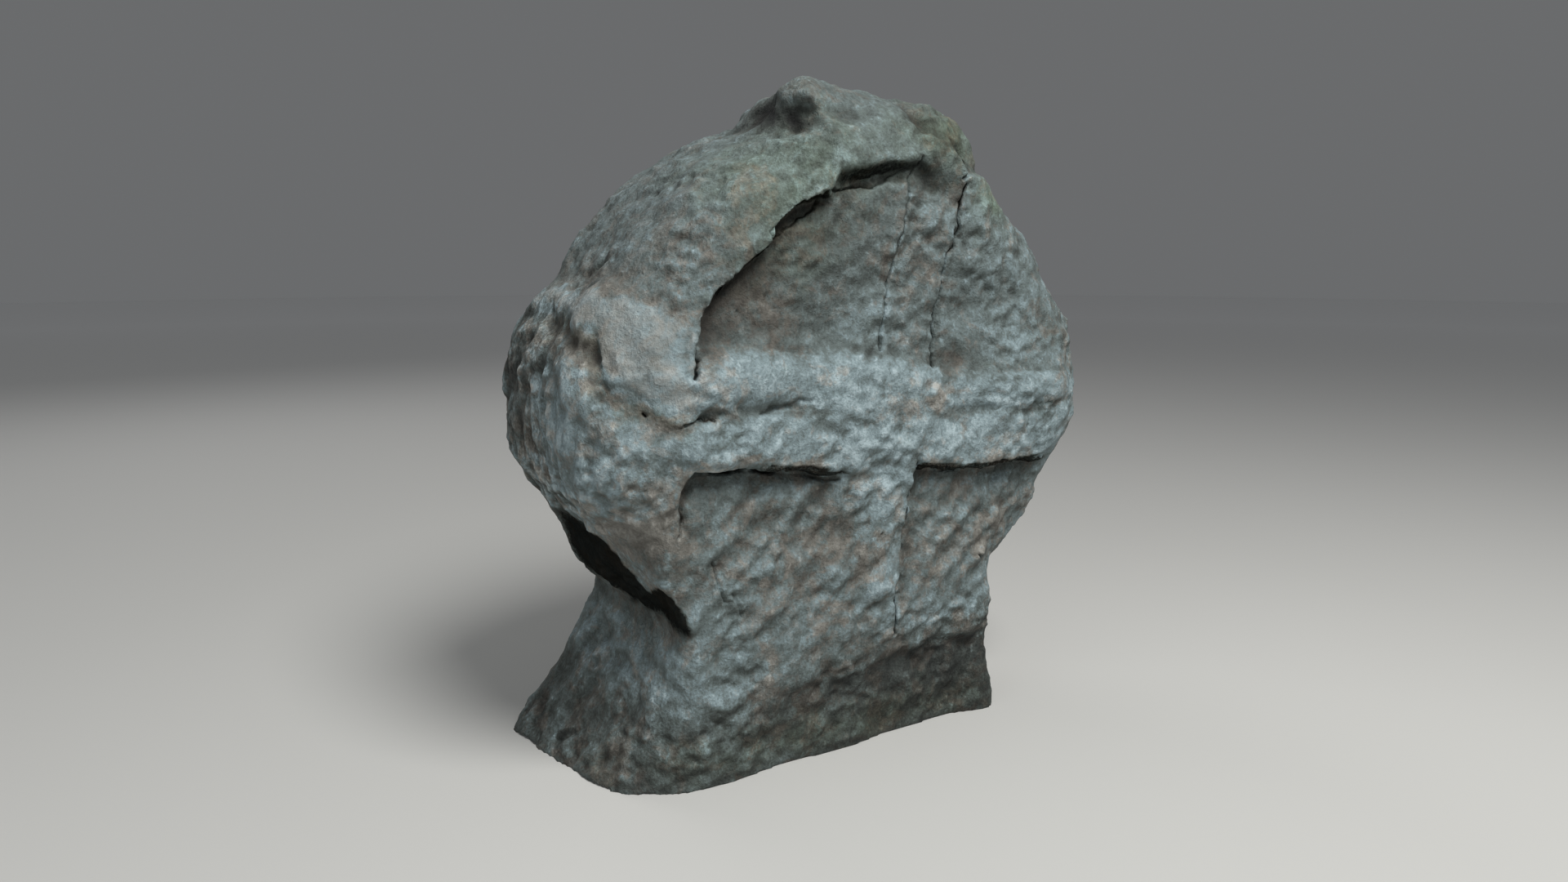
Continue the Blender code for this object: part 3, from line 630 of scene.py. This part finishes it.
def top_arm(x, y, z, front, back):
    """The knob on the head: highest at its left, with a hollow along the foot of its left flank."""
    reach = HEAD_RADIUS + TOP_ARM_STANDOUT
    left = -x - TOP_ARM_LEFT + 0.19 * y + 0.4 * (z - 0.93 * reach)
    left = left + 0.35 * np.maximum(y - 0.6 * THICKNESS, 0.0)
    right = x - TOP_ARM_RIGHT - 0.04 * y + 0.25 * (z - 0.85 * reach)
    top = z - reach + 0.12 * (x + 0.6 * TOP_ARM_LEFT) + 0.08 * np.maximum(y - 0.4 * THICKNESS, 0.0)
    outline = worn_corner(worn_corner(left, top, 0.22 * TOP_ARM_LEFT), right, 0.4 * TOP_ARM_RIGHT)
    outline = np.maximum(outline, 0.3 * reach - z)
    dent_height = reach * (0.855 + 0.12 * y / THICKNESS)
    back_dent = mound(y, z - dent_height, (0.40 * THICKNESS, 0.0), (0.16 * THICKNESS, 0.07 * reach))
    front_dent = mound(y, z - dent_height, (0.13 * THICKNESS, 0.0), (0.09 * THICKNESS, 0.055 * reach))
    dents = (0.9 * back_dent + 0.8 * front_dent) * smooth_step(-x, 0.1 * TOP_ARM_LEFT, 0.5 * TOP_ARM_LEFT)
    wear = FRONT_WEAR * (1.0 - 0.3 * smooth_step(x, 0.0, 0.5 * TOP_ARM_RIGHT))
    return slab(outline, front, back, wear) + HOLLOW_DEPTH * dents


def foot(x, y, z, front, back):
    """From the neck the sides spread to the ground, more so at the back left."""
    drop = np.clip((NECK_HEIGHT - HEAD_CENTRE_HEIGHT - z) / NECK_HEIGHT, -0.5, 1.6)
    spread = 0.3 * drop + 0.7 * drop * np.abs(drop)
    front_left = NECK_LEFT + (FOOT_LEFT - NECK_LEFT) * 0.65 * spread
    back_spread = 0.65 * drop + 0.4 * drop * np.abs(drop)
    back_left = NECK_LEFT + 0.03 * THICKNESS + (FOOT_LEFT - NECK_LEFT) * back_spread
    left = front_left + (back_left - front_left) * np.clip(y / (0.9 * THICKNESS), 0.0, 1.0)
    right = NECK_RIGHT + (FOOT_RIGHT - NECK_RIGHT) * spread
    sides = np.maximum(np.maximum(-left - x, x - right), z + 0.2 * HEAD_RADIUS)
    wear = FRONT_WEAR * (0.3 + 0.75 * smooth_step(drop, 0.0, 1.0) * smooth_step(-x, 0.0, 0.5 * FOOT_LEFT))
    return slab(sides, front, back, wear)


def stone(points):
    """The whole stone's field at each point, in metres, negative inside."""
    x = points[:, 0]
    z = points[:, 2] - HEAD_CENTRE_HEIGHT
    y = points[:, 1] + THICKNESS / 2 + FORWARD_LEAN * z
    carved = 1.0 - smooth_step(y, 0.3 * RELIEF_REACH, RELIEF_REACH)
    front = face_depth(x, z) * carved - y
    back = y - THICKNESS
    body = grown_together(head(x, y, z, front, back), left_arm(x, y, z, front, back), 0.012)
    body = grown_together(body, right_arm(x, y, z, front, back), 0.045)
    body = grown_together(body, top_arm(x, y, z, front, back), 0.018)
    return grown_together(body, foot(x, y, z, front, back), 0.012)


def on_face_axes(points):
    """Each point's place across the head, behind the face plane and above the middle of the head."""
    z = points[:, 2] - HEAD_CENTRE_HEIGHT
    return points[:, 0], points[:, 1] + THICKNESS / 2 + FORWARD_LEAN * z, z


def shares(points):
    """Each point's place across, into the stone and up, in shares of FACE_RADIUS."""
    return np.stack(on_face_axes(points), 1) / FACE_RADIUS


def until(value, low, high):
    """1 below the low value, and 0 above the high one."""
    return 1.0 - smooth_step(value, low, high)


def bell(value, middle, width):
    """1 at the middle, and fading over a width to both sides."""
    return np.exp(-((value - middle) / width) ** 2)


def soft_spots(places, patches):
    """The sum of soft oval patches at each place in shares."""
    total = np.zeros(len(places))
    for place, radii, strength in patches:
        total += strength * np.exp(-(((places - place) / radii) ** 2).sum(1))
    return total


def noise_at(places, width, seed, octaves=1):
    """A noise value at each place, for lumps of a width and with finer ones on them."""
    shifted = places / width + np.array(seed)
    if octaves == 1:
        return np.array([noise.noise(Vector(place)) for place in shifted])
    return np.array([noise.fractal(Vector(place), NOISE_FINENESS, NOISE_LACUNARITY, octaves)
                     for place in shifted])


def pits(places, width, seed):
    """Pecked hollows of a width: 0 in the middle of each pit, 1 on the ridges between them."""
    shifted = places / width + np.array(seed)
    return np.array([noise.voronoi(Vector(place))[0][0] for place in shifted])


def read_vertices(mesh, what):
    """The mesh's vertex places, "co", or its vertex normals, "normal"."""
    values = np.empty(3 * len(mesh.vertices))
    mesh.vertices.foreach_get(what, values)
    return values.reshape(-1, 3)


def move_vertices(mesh, places):
    mesh.vertices.foreach_set("co", places.ravel())
    mesh.update()


def add_object(name, data):
    made = bpy.data.objects.new(name, data)
    bpy.context.collection.objects.link(made)
    return made


def add_attribute(mesh, name, values):
    """Stores a value from 0 to 1 at each vertex."""
    layer = mesh.attributes.new(name, "FLOAT", "POINT")
    layer.data.foreach_set("value", np.clip(values, 0.0, 1.0).astype(np.float32))


def with_modifier(mesh, kind, settings):
    """The mesh as one modifier leaves it."""
    carrier = add_object("carrier", mesh)
    modifier = carrier.modifiers.new(kind, kind)
    for name, value in settings.items():
        setattr(modifier, name, value)
    depsgraph = bpy.context.evaluated_depsgraph_get()
    result = bpy.data.meshes.new_from_object(carrier.evaluated_get(depsgraph))
    bpy.data.objects.remove(carrier)
    bpy.data.meshes.remove(mesh)
    return result


def draw_onto_stone(places):
    """Moves each place down the field's slope until it lies on the stone's surface."""
    aside = SLOPE_REACH * np.eye(3)
    for _ in range(FIELD_ROUNDS):
        value = stone(places)
        rises = [stone(places + step) - stone(places - step) for step in aside]
        slope = np.stack(rises, 1) / (2 * SLOPE_REACH)
        steepness = np.maximum((slope ** 2).sum(1), LEAST_STEEPNESS)
        step = np.clip(value / steepness, -LONGEST_STEP, LONGEST_STEP)
        places = places - step[:, None] * slope
    return places


def hollowness(places):
    """Positive in hollows and crevices and negative on edges, from how the field bends over a short reach."""
    around = sum(stone(places + step) + stone(places - step) for step in HOLLOW_REACH * np.eye(3))
    return (6.0 * stone(places) - around) / HOLLOW_REACH


def open_sky(places, normals):
    """The share of the sky above each place that the stone itself doesn't cover, from 0 to 1."""
    seen = np.zeros(len(places))
    total = np.full(len(places), NO_SKY)
    for ring_height, count in SKY_RINGS:
        ring_radius = math.sqrt(1.0 - ring_height ** 2)
        for turn in np.arange(count) / count * 2.0 * math.pi:
            direction = np.array((ring_radius * math.cos(turn), ring_radius * math.sin(turn), ring_height))
            weight = np.maximum(normals @ direction, 0.0)
            clear = np.ones(len(places))
            for distance in SKY_STEPS:
                field = stone(places + distance * direction + SKY_LIFT * normals)
                clear = np.minimum(clear, smooth_step(field / distance, *SKY_CLEAR))
            seen += weight * clear
            total += weight
    return seen / total


def distance_to_line(x, z, line):
    """The distance in metres from each place on the face to a line of points in shares of FACE_RADIUS."""
    nearest = np.full(len(x), np.inf)
    points = np.array(line) * FACE_RADIUS
    for (ax, az), (bx, bz) in zip(points[:-1], points[1:]):
        dx, dz = bx - ax, bz - az
        t = np.clip(((x - ax) * dx + (z - az) * dz) / (dx * dx + dz * dz), 0.0, 1.0)
        nearest = np.minimum(nearest, np.hypot(x - ax - t * dx, z - az - t * dz))
    return nearest


def crack_depth(points):
    """How deep each place lies in a crack of the face, in metres."""
    x, y, z = on_face_axes(points)
    on_face = y < CRACK_REACH
    x, y, z = x[on_face], y[on_face], z[on_face]
    wander = CRACK_WANDER * noise_at(points[on_face], CRACK_WANDER_WIDTH, CRACK_SEED, octaves=2)
    fading = CRACK_MEAN + CRACK_FADING * noise_at(points[on_face], 3.0 * CRACK_WANDER_WIDTH, CRACK_SEED)
    deepest_here = np.zeros(len(x))
    for line, width, deepest in CRACKS:
        near = distance_to_line(x + wander, z - wander, line)
        deepest_here = np.maximum(deepest_here, deepest * fading * bell(near, 0.0, width))
    depth = np.zeros(len(points))
    depth[on_face] = deepest_here * until(y, 0.5 * CRACK_REACH, CRACK_REACH)
    return depth


def split_near_cracks(mesh):
    """Splits the faces near the cracks into nine, so that the cracks can be thin."""
    x, y, z = on_face_axes(read_vertices(mesh, "co"))
    near = np.full(len(x), False)
    for line, _, _ in CRACKS:
        near |= distance_to_line(x, z, line) < CRACK_MARGIN
    near &= y < 0.5 * CRACK_REACH
    bm = bmesh.new()
    bm.from_mesh(mesh)
    edges = [edge for edge in bm.edges if near[edge.verts[0].index] and near[edge.verts[1].index]]
    bmesh.ops.subdivide_edges(bm, edges=edges, cuts=2, use_grid_fill=True)
    bmesh.ops.triangulate(bm, faces=[face for face in bm.faces if len(face.verts) > 4])
    bm.to_mesh(mesh)
    bm.free()


def weld(mesh):
    """Joins vertices that all but touch, so that no sliver of a face comes loose."""
    bm = bmesh.new()
    bm.from_mesh(mesh)
    bmesh.ops.remove_doubles(bm, verts=bm.verts, dist=WELD_DISTANCE)
    for items, context in ((bm.edges, "EDGES"), (bm.verts, "VERTS")):
        bare = [item for item in items if not item.link_faces]
        bmesh.ops.delete(bm, geom=bare, context=context)
    bm.to_mesh(mesh)
    bm.free()


def surface_relief(places):
    """The height of dimples, pits and streaks at each place, and that of furrows on the left, in metres."""
    x, y, z = on_face_axes(places)
    dimples = DIMPLE_HEIGHT * noise_at(places, DIMPLE_WIDTH, DIMPLE_SEED, octaves=3)
    pitted = PIT_HEIGHT * (pits(places, PIT_WIDTH, PIT_SEED) - PIT_MIDDLE)
    lively = noise_at(places, LIVELY_WIDTH, LIVELY_SEED)
    lively = LIVELY_LEAST + LIVELY_RISE * smooth_step(lively, *LIVELY_RANGE)
    in_shares = shares(places)
    for spot in CALM_SPOTS:
        lively *= 1.0 - soft_spots(in_shares, (spot,))
    lively *= 1.0 - CALM_BACK * smooth_step(y, 0.80 * THICKNESS, 0.95 * THICKNESS)
    along_streak = x * math.cos(STREAK_ANGLE) + z * math.sin(STREAK_ANGLE)
    across_streak = z * math.cos(STREAK_ANGLE) - x * math.sin(STREAK_ANGLE)
    turned = np.stack((along_streak * STREAK_WIDTH / STREAK_LENGTH, y, across_streak), 1)
    in_lower_recess = smooth_step(-z, 0.25 * FACE_RADIUS, 0.35 * FACE_RADIUS)
    in_lower_recess *= until(-z, 0.85 * FACE_RADIUS, 1.05 * FACE_RADIUS)
    in_lower_recess *= until(y, *STREAK_REACH)
    streaks = STREAK_HEIGHT * noise_at(turned, STREAK_WIDTH, STREAK_SEED) * in_lower_recess
    furrows = FURROW_HEIGHT * noise_at(places * FURROW_STRETCH, FURROW_WIDTH, FURROW_SEED)
    on_foot_side = smooth_step(-z, *FOOT_SIDE_BELOW) * smooth_step(-x, *FOOT_SIDE_LEFT)
    on_foot_side *= smooth_step(y, *FOOT_SIDE_BEHIND)
    furrows *= np.maximum(smooth_step(-x, *ARM_END_LEFT), FURROWS_ON_FOOT * on_foot_side)
    furrows *= 1.0 - FURROWS_LESS_ABOVE * smooth_step(z, *ARM_END_ABOVE)
    return lively * (dimples + pitted) + streaks, furrows


# The edges of the stains and of the painted light and shade below are in shares of FACE_RADIUS: u across, w
# into the stone and v up
def rim_painted_shade_and_stain(u, v, carved):
    """How strong the painted shade and the brown stain along the inside of the rim are."""
    inside_rim = along(np.degrees(np.arctan2(RIM_SHIFT - u, v)), RIM_LINE) - np.hypot(u - RIM_SHIFT, v)
    soil = smooth_step(inside_rim, -0.005, 0.010) * until(inside_rim, 0.042, 0.140)
    return soil * smooth_step(v, 0.20, 0.35) * until(u, -0.40, -0.15) * carved


def band_light_shade_and_stain(u, v, carved):
    """How strong the painted shade and brown stain on the band's underside are, and the painted light at its
    base and on the field below.
    """
    above_base = v - along(u, BAND_BASE)
    along_base = along(u, UNDERSIDE_SPAN) * carved
    return [along_base * bell(above_base, *place) for place in (UNDERSIDE, PAINTED_LIGHT_LIP, PAINTED_LIGHT_FIELD)]


def arm_light_and_shade(u, w, v):
    """Where the left arm's shelf is, the bevel before it, and the head just over the shelf: the shelf's
    paleness partly painted light, painted shadow under the bevel's edge and painted shade over the crease.
    """
    above_crease = v - along(u, SHELF_CREASE)
    above_bevel = v - along(w, SHELF_EDGE)
    on_arm = smooth_step(-u, 0.92, 1.02) * until(above_crease, -0.02, 0.02)
    shelf = on_arm * smooth_step(above_bevel, 0.015, 0.045)
    bevel = on_arm * bell(above_bevel, *BEVEL) * until(w, 0.5, 0.9)
    over_shelf = smooth_step(above_crease, -0.01, 0.02) * until(above_crease, 0.06, 0.22)
    return shelf, bevel, over_shelf * smooth_step(-u, 0.88, 1.00)


def painted_shadow_strip(u, w, v):
    """How strong the painted shadow strip below the head's left is, and the painted penumbra of dimmer stone
    below it.
    """
    on_left = smooth_step(-u, 0.80, 0.90) * smooth_step(w, 0.005, 0.03)
    softness = 0.03 + 0.15 * smooth_step(w, 0.35, 0.70)
    below_strip = along(w, PAINTED_SHADOW_END) - v
    strip = smooth_step((along(w, PAINTED_SHADOW_EDGE) - v) / softness, -0.2, 1.0)
    strip = strip * until(below_strip, -0.07, 0.07) * on_left
    strip *= 1.0 - STRIP_LESS_AT_BACK * smooth_step(w, 0.76, 1.02)
    painted_penumbra = smooth_step(below_strip, -0.10, 0.0) * until(below_strip, 0.0, 0.16) * on_left
    return strip, painted_penumbra


def painted_shade_facing_down(points, normals, u, w):
    """How much shade is painted in where the stone faces down, other than at the strip and near the ground.
    """
    facing_down = smooth_step(-normals[:, 2], 0.35, 0.80) * smooth_step(points[:, 2], 0.10, 0.16)
    at_strip = smooth_step(-u, 0.60, 0.80) * until(w, 0.7, 0.9)
    return FACING_DOWN_PAINTED_SHADE * facing_down * (1.0 - at_strip)


def patchiness(u, w, v):
    """Where the stone is patchier: low on the foot and on the left arm's end."""
    low = until(v - 0.1 * np.minimum(u, 0.5), -1.15, -0.90)
    on_foot = low * (0.5 + 0.5 * smooth_step(u, 0.1, 0.4))
    return np.maximum(on_foot, smooth_step(w, 0.30, 0.60) * smooth_step(-u, 1.15, 1.28))


def stains_painted_light_and_shade(points, normals):
    """Where the stone is paler or darker, with painted light and shade among it, where shade is painted on
    down-facing stone, and where it is mossy or brown, for its material.
    """
    places = shares(points)
    edge_wander = EDGE_WANDER * noise_at(points, EDGE_WANDER_WIDTH, EDGE_WANDER_SEED, octaves=3)
    places = places + np.stack((edge_wander, np.zeros(len(points)), edge_wander), 1)
    u, w, v = places.T
    carved = until(w * FACE_RADIUS, 0.3 * RELIEF_REACH, RELIEF_REACH)
    depth = face_depth(u * FACE_RADIUS, v * FACE_RADIUS) * carved
    rim_shade_and_stain = rim_painted_shade_and_stain(u, v, carved)
    underside, lip, painted_light_field = band_light_shade_and_stain(u, v, carved)
    shelf, bevel, over_shelf = arm_light_and_shade(u, w, v)
    strip, painted_penumbra = painted_shadow_strip(u, w, v)
    on_edge = smooth_step(w, 0.10, 0.25) * smooth_step(v, 0.40, 0.60)

    # Tone by depth, with painted shade deeper in the sunk fields, and the tone patches
    tone = along(depth, TONE_AND_SHADE_OF_DEPTH) + soft_spots(places, TONE_PATCHES)
    # Painted shade from the shade patches
    tone *= 1.0 - np.minimum(soft_spots(places, SHADE_PATCHES), DARKEST_SHADE)
    # Painted shade along the inside of the rim
    tone *= 1.0 - (RIM_PAINTED_SHADE - RIM_PAINTED_SHADE_LESS_AT_TOP * smooth_step(v, 0.60, 0.80)) * rim_shade_and_stain
    # Painted shade on the band's underside, and painted light at its lip and on the field below
    tone *= 1.0 - UNDERSIDE_PAINTED_SHADE * underside
    tone *= 1.0 + PAINTED_LIGHT_FIELD_PALE * painted_light_field
    tone *= 1.0 + PAINTED_LIGHT_LIP_PALE * lip
    # The shelf paler, partly painted light; painted shadow under the bevel's edge and painted shade just over
    # the shelf
    tone += SHELF_PALE_AND_PAINTED_LIGHT * shelf
    tone *= 1.0 - BEVEL_PAINTED_SHADOW * bevel
    tone *= 1.0 - OVER_SHELF_PAINTED_SHADE * over_shelf
    # Painted penumbra: the stone just below the painted shadow strip is darker
    tone *= 1.0 - PAINTED_PENUMBRA_DARK * painted_penumbra
    brown = soft_spots(places, BROWN_PATCHES) + RIM_STAIN_BROWN * rim_shade_and_stain + SHELF_BROWN * shelf
    brown += BEVEL_BROWN * bevel
    brown += OVER_SHELF_BROWN * over_shelf
    brown += UNDERSIDE_BROWN * np.maximum(underside, lip)
    return {
        "tone": 0.5 * tone,
        # Painted shade: the shadow strip below the head, and where the stone faces down
        "painted_shade": np.maximum(strip, painted_shade_facing_down(points, normals, u, w)),
        "foot_soil": until(v - along(u, LEDGE_LINE), -1.22, -0.95),
        "brown": 0.5 + 0.5 * brown,
        "mixed": 1.0 - np.maximum(SHELF_UNMIXED * shelf, HEAD_EDGE_UNMIXED * on_edge),
        "contrast": 0.5 + PATCHY_MORE * patchiness(u, w, v) - SHELF_EVEN * shelf,
        "green": soft_spots(places, GREEN_PATCHES) + BEVEL_GREEN * bevel,
    }


def stone_skin():
    """The fine skin: remeshed solid, drawn onto the field, then worn, pecked and cracked."""
    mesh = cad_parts["headstone"].data.copy()
    voxel = FINE_VOXEL
    mesh = with_modifier(mesh, "REMESH", {"mode": "VOXEL", "voxel_size": voxel})
    mesh.materials.clear()
    split_near_cracks(mesh)
    rest = read_vertices(mesh, "co")
    above_ground = smooth_step(rest[:, 2], *LEAVES_GROUND)
    smooth = draw_onto_stone(rest)
    places = rest + (smooth - rest) * above_ground[:, None]
    move_vertices(mesh, places)
    normals = read_vertices(mesh, "normal")

    lumps = noise_at(places, LUMP_WIDTH, LUMP_SEED)
    pecks = noise_at(places, PECK_WIDTH, PECK_SEED)
    relief, furrows = surface_relief(places)
    cracks = crack_depth(places)
    height = LUMP_HEIGHT * lumps + PECK_HEIGHT * pecks + relief + furrows - cracks
    # How raised each place is, which the material turns into painted highlight on bumps and painted shade in
    # pits and furrows
    raised = relief / RAISED_RELIEF + furrows / RAISED_FURROW + RAISED_PECKS * pecks
    add_attribute(mesh, "raised", 0.5 + 0.5 * raised)
    add_attribute(mesh, "crack", cracks / FULL_CRACK)
    # Painted shade in hollows and crevices
    add_attribute(mesh, "hollow", 0.5 + HOLLOW_GAIN * hollowness(smooth))
    # Painted shade: the share of open sky, which darkens the colour where the stone hides it
    add_attribute(mesh, "sky", open_sky(smooth, normals))
    for name, values in stains_painted_light_and_shade(places, normals).items():
        add_attribute(mesh, name, values)
    move_vertices(mesh, places + normals * (height * above_ground)[:, None])
    # Painted light and shade: how far each facet leans towards the light
    tilt = read_vertices(mesh, "normal") - normals
    add_attribute(mesh, "painted_facet_light", 0.5 + FACET_CONTRAST * (tilt @ np.array(PAINTED_LIGHT_SIDE)))

    triangles = sum(len(polygon.vertices) - 2 for polygon in mesh.polygons)
    if triangles > FINE_TRIANGLES:
        mesh = with_modifier(mesh, "DECIMATE", {"ratio": FINE_TRIANGLES / triangles})
    weld(mesh)
    mesh.polygons.foreach_set("use_smooth", [True] * len(mesh.polygons))
    mesh.name = "stone_skin"
    return mesh


class Nodes:
    """Short calls for building one material's node tree."""

    def __init__(self, material):
        self.tree = material.node_tree
        self.coordinates = self.add("ShaderNodeTexCoord").outputs["Object"]

    def add(self, kind, **settings):
        made = self.tree.nodes.new(kind)
        for name, value in settings.items():
            setattr(made, name, value)
        return made

    def feed(self, node, inputs):
        """Links or sets each of the inputs that are given."""
        for name, value in inputs.items():
            if isinstance(value, bpy.types.NodeSocket):
                self.tree.links.new(value, node.inputs[name])
            else:
                node.inputs[name].default_value = value

    def math(self, operation, first, second=0.0):
        made = self.add("ShaderNodeMath", operation=operation)
        self.feed(made, {0: first, 1: second})
        return made.outputs[0]

    def chain(self, operation, values):
        """One operation over all the values, from the first on."""
        result, *others = values
        for value in others:
            result = self.math(operation, result, value)
        return result

    def remap(self, value, low, high, to_low=0.0, to_high=1.0):
        made = self.add("ShaderNodeMapRange")
        self.feed(made, {"Value": value, "From Min": low, "From Max": high,
                         "To Min": to_low, "To Max": to_high})
        return made.outputs["Result"]

    def noise(self, width, detail, roughness, distortion=0.0, stretch=None):
        """Noise with patches of a width in metres, longer along an axis whose stretch is below 1."""
        place = self.coordinates
        if stretch:
            scaled = self.add("ShaderNodeMapping")
            self.feed(scaled, {"Vector": place, "Scale": stretch})
            place = scaled.outputs["Vector"]
        made = self.add("ShaderNodeTexNoise")
        self.feed(made, {"Vector": place, "Scale": 1.0 / width, "Detail": detail, "Roughness": roughness,
                         "Distortion": distortion})
        return made.outputs["Fac"]

    def attribute(self, name):
        return self.add("ShaderNodeAttribute", attribute_name=name).outputs["Fac"]

    def ramp(self, value, stops):
        made = self.add("ShaderNodeValToRGB")
        while len(made.color_ramp.elements) < len(stops):
            made.color_ramp.elements.new(1.0)
        for element, (position, colour) in zip(made.color_ramp.elements, stops):
            element.position = position
            element.color = (*colour, 1.0)
        self.feed(made, {"Fac": value})
        return made.outputs["Color"]

    def mix(self, share, first, second, blend="MIX"):
        made = self.add("ShaderNodeMix", data_type="RGBA", blend_type=blend)
        a, b = ((*colour, 1.0) if isinstance(colour, tuple) else colour for colour in (first, second))
        self.feed(made, {"Factor": share, "A": a, "B": b})
        return made.outputs["Result"]


def new_material(name):
    """A new material, with short calls for its nodes, and its shader."""
    material = bpy.data.materials.new(name)
    material.use_nodes = True
    return material, Nodes(material), material.node_tree.nodes["Principled BSDF"]


def stone_material():
    """Grey stone: bluish where it stands proud, brown-grey in the hollows, with painted shade where it faces
    down, in hollows and where it hides the sky, and painted light on facets leaning towards the light.
    """
    material, nodes, shader = new_material("grey_stone")
    looks = {name: nodes.noise(*settings) for name, settings in PATTERNS.items()}
    for name in ATTRIBUTES:
        looks[name] = nodes.attribute(name)
    ragged = nodes.math("SUBTRACT", looks["ragged"], 0.5)

    uneven = nodes.chain("MULTIPLY", [nodes.remap(looks[name], *span) for name, span in UNEVEN])
    uneven = nodes.math("POWER", uneven, nodes.math("MULTIPLY", looks["contrast"], 2.0))
    tone = nodes.math("MULTIPLY", looks["tone"], 2.0 * MEAN_LEVEL / BRIGHTEST_LEVEL)
    soil = nodes.remap(nodes.math("ADD", looks["foot_soil"], ragged), *FOOT_SOIL)
    stipple = nodes.math("MULTIPLY", ragged, STIPPLE_RAGGED)
    stipple = nodes.math("ADD", stipple, nodes.remap(looks["grain"], *STIPPLE))
    # Painted shade: darker below the head and where the stone faces down
    shade = nodes.remap(nodes.math("ADD", looks["painted_shade"], stipple), *PAINTED_SHADE_RANGE)
    # Painted shade in hollows
    hollow = nodes.remap(looks["hollow"], *HOLLOW_PAINTED_SHADE)
    # Painted shade where the stone hides the sky
    sky = nodes.remap(looks["sky"], *SKY_PAINTED_SHADE)
    level = nodes.chain("MULTIPLY", [tone, soil, shade, hollow, sky, uneven])

    brown = nodes.chain("ADD", [nodes.remap(looks[name], *span) for name, span in BROWN_PATTERNS])
    brown = nodes.math("MULTIPLY", brown, looks["mixed"])
    where_pale = nodes.remap(looks["tone"], *BROWN_WHERE_PALE)
    uneven_edge = nodes.math("MULTIPLY", ragged, BROWN_RAGGED)
    brown = nodes.chain("ADD", [brown, nodes.remap(looks["brown"], *BROWN), where_pale, uneven_edge])
    brown = nodes.remap(brown, 0.0, 1.0)
    colour = nodes.mix(brown, nodes.ramp(level, CLEAN_COLOURS), nodes.ramp(level, BROWN_COLOURS))
    green = nodes.remap(nodes.math("ADD", looks["green"], ragged), *GREEN)
    colour = nodes.mix(green, colour, GREEN_TINT, "MULTIPLY")
    colour = nodes.mix(nodes.remap(looks["crack"], *CRACKED), colour, CRACK_COLOUR)

    roughness = nodes.remap(looks["mottle"], *ROUGHNESS)
    shine = nodes.remap(nodes.math("MAXIMUM", looks["painted_shade"], looks["crack"]), *SHINE)
    grain = nodes.math("MULTIPLY", looks["grain"], BUMP_GRAIN)
    height = nodes.chain("ADD", [looks["mottle"], grain, looks["streak"]])
    bump = nodes.add("ShaderNodeBump")
    nodes.feed(bump, {"Strength": BUMP_STRENGTH, "Distance": BUMP_DISTANCE, "Height": height})
    nodes.feed(shader, {"Base Color": colour, "Roughness": roughness, "Metallic": 0.0,
                        "Specular IOR Level": shine, "Normal": bump.outputs["Normal"]})
    return material


def make_headstone():
    skin = add_object("headstone_skin", stone_skin())
    skin.data.materials.append(stone_material())
    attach(skin, "root")
    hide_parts("headstone")


def make_floor():
    """A plain pale floor, paler far away so that it meets the background softly."""
    bm = bmesh.new()
    bmesh.ops.create_circle(bm, cap_ends=True, segments=FLOOR_SIDES, radius=FLOOR_RADIUS)
    mesh = bpy.data.meshes.new("floor")
    bm.to_mesh(mesh)
    bm.free()
    material, nodes, shader = new_material("floor_paper")
    distance = nodes.add("ShaderNodeVectorMath", operation="LENGTH")
    nodes.feed(distance, {0: nodes.coordinates})
    colour = nodes.mix(nodes.remap(distance.outputs["Value"], *FLOOR_FADE), FLOOR_NEAR, FLOOR_FAR)
    nodes.feed(shader, {"Base Color": colour, "Roughness": FLOOR_ROUGHNESS,
                        "Specular IOR Level": FLOOR_SHINE})
    mesh.materials.append(material)
    add_object("floor", mesh)


def make_lights():
    for name, place, size, power, colour in LIGHTS:
        data = bpy.data.lights.new(name, "AREA")
        data.shape = "DISK"
        data.size = size
        data.energy = power
        data.color = colour
        light = add_object(name, data)
        light.location = place
        light.rotation_euler = (Vector(LIGHT_TARGET) - Vector(place)).to_track_quat("-Z", "Y").to_euler()


def make_air():
    """Even light from all around."""
    world = bpy.data.worlds.new("studio")
    world.use_nodes = True
    background = world.node_tree.nodes["Background"]
    background.inputs["Color"].default_value = AIR_COLOUR
    background.inputs["Strength"].default_value = AIR_STRENGTH
    bpy.context.scene.world = world


def make_camera():
    data = bpy.data.cameras.new("camera")
    data.lens = FOCAL_LENGTH
    data.sensor_width = SENSOR_WIDTH
    camera = add_object("camera", data)
    camera.location = CAMERA_PLACE
    camera.rotation_euler = (math.radians(90.0 - CAMERA_PITCH), 0.0, math.radians(-CAMERA_YAW))
    bpy.context.scene.camera = camera
    bpy.context.scene.view_settings.view_transform = "Standard"


make_headstone()
make_floor()
make_lights()
make_air()
make_camera()
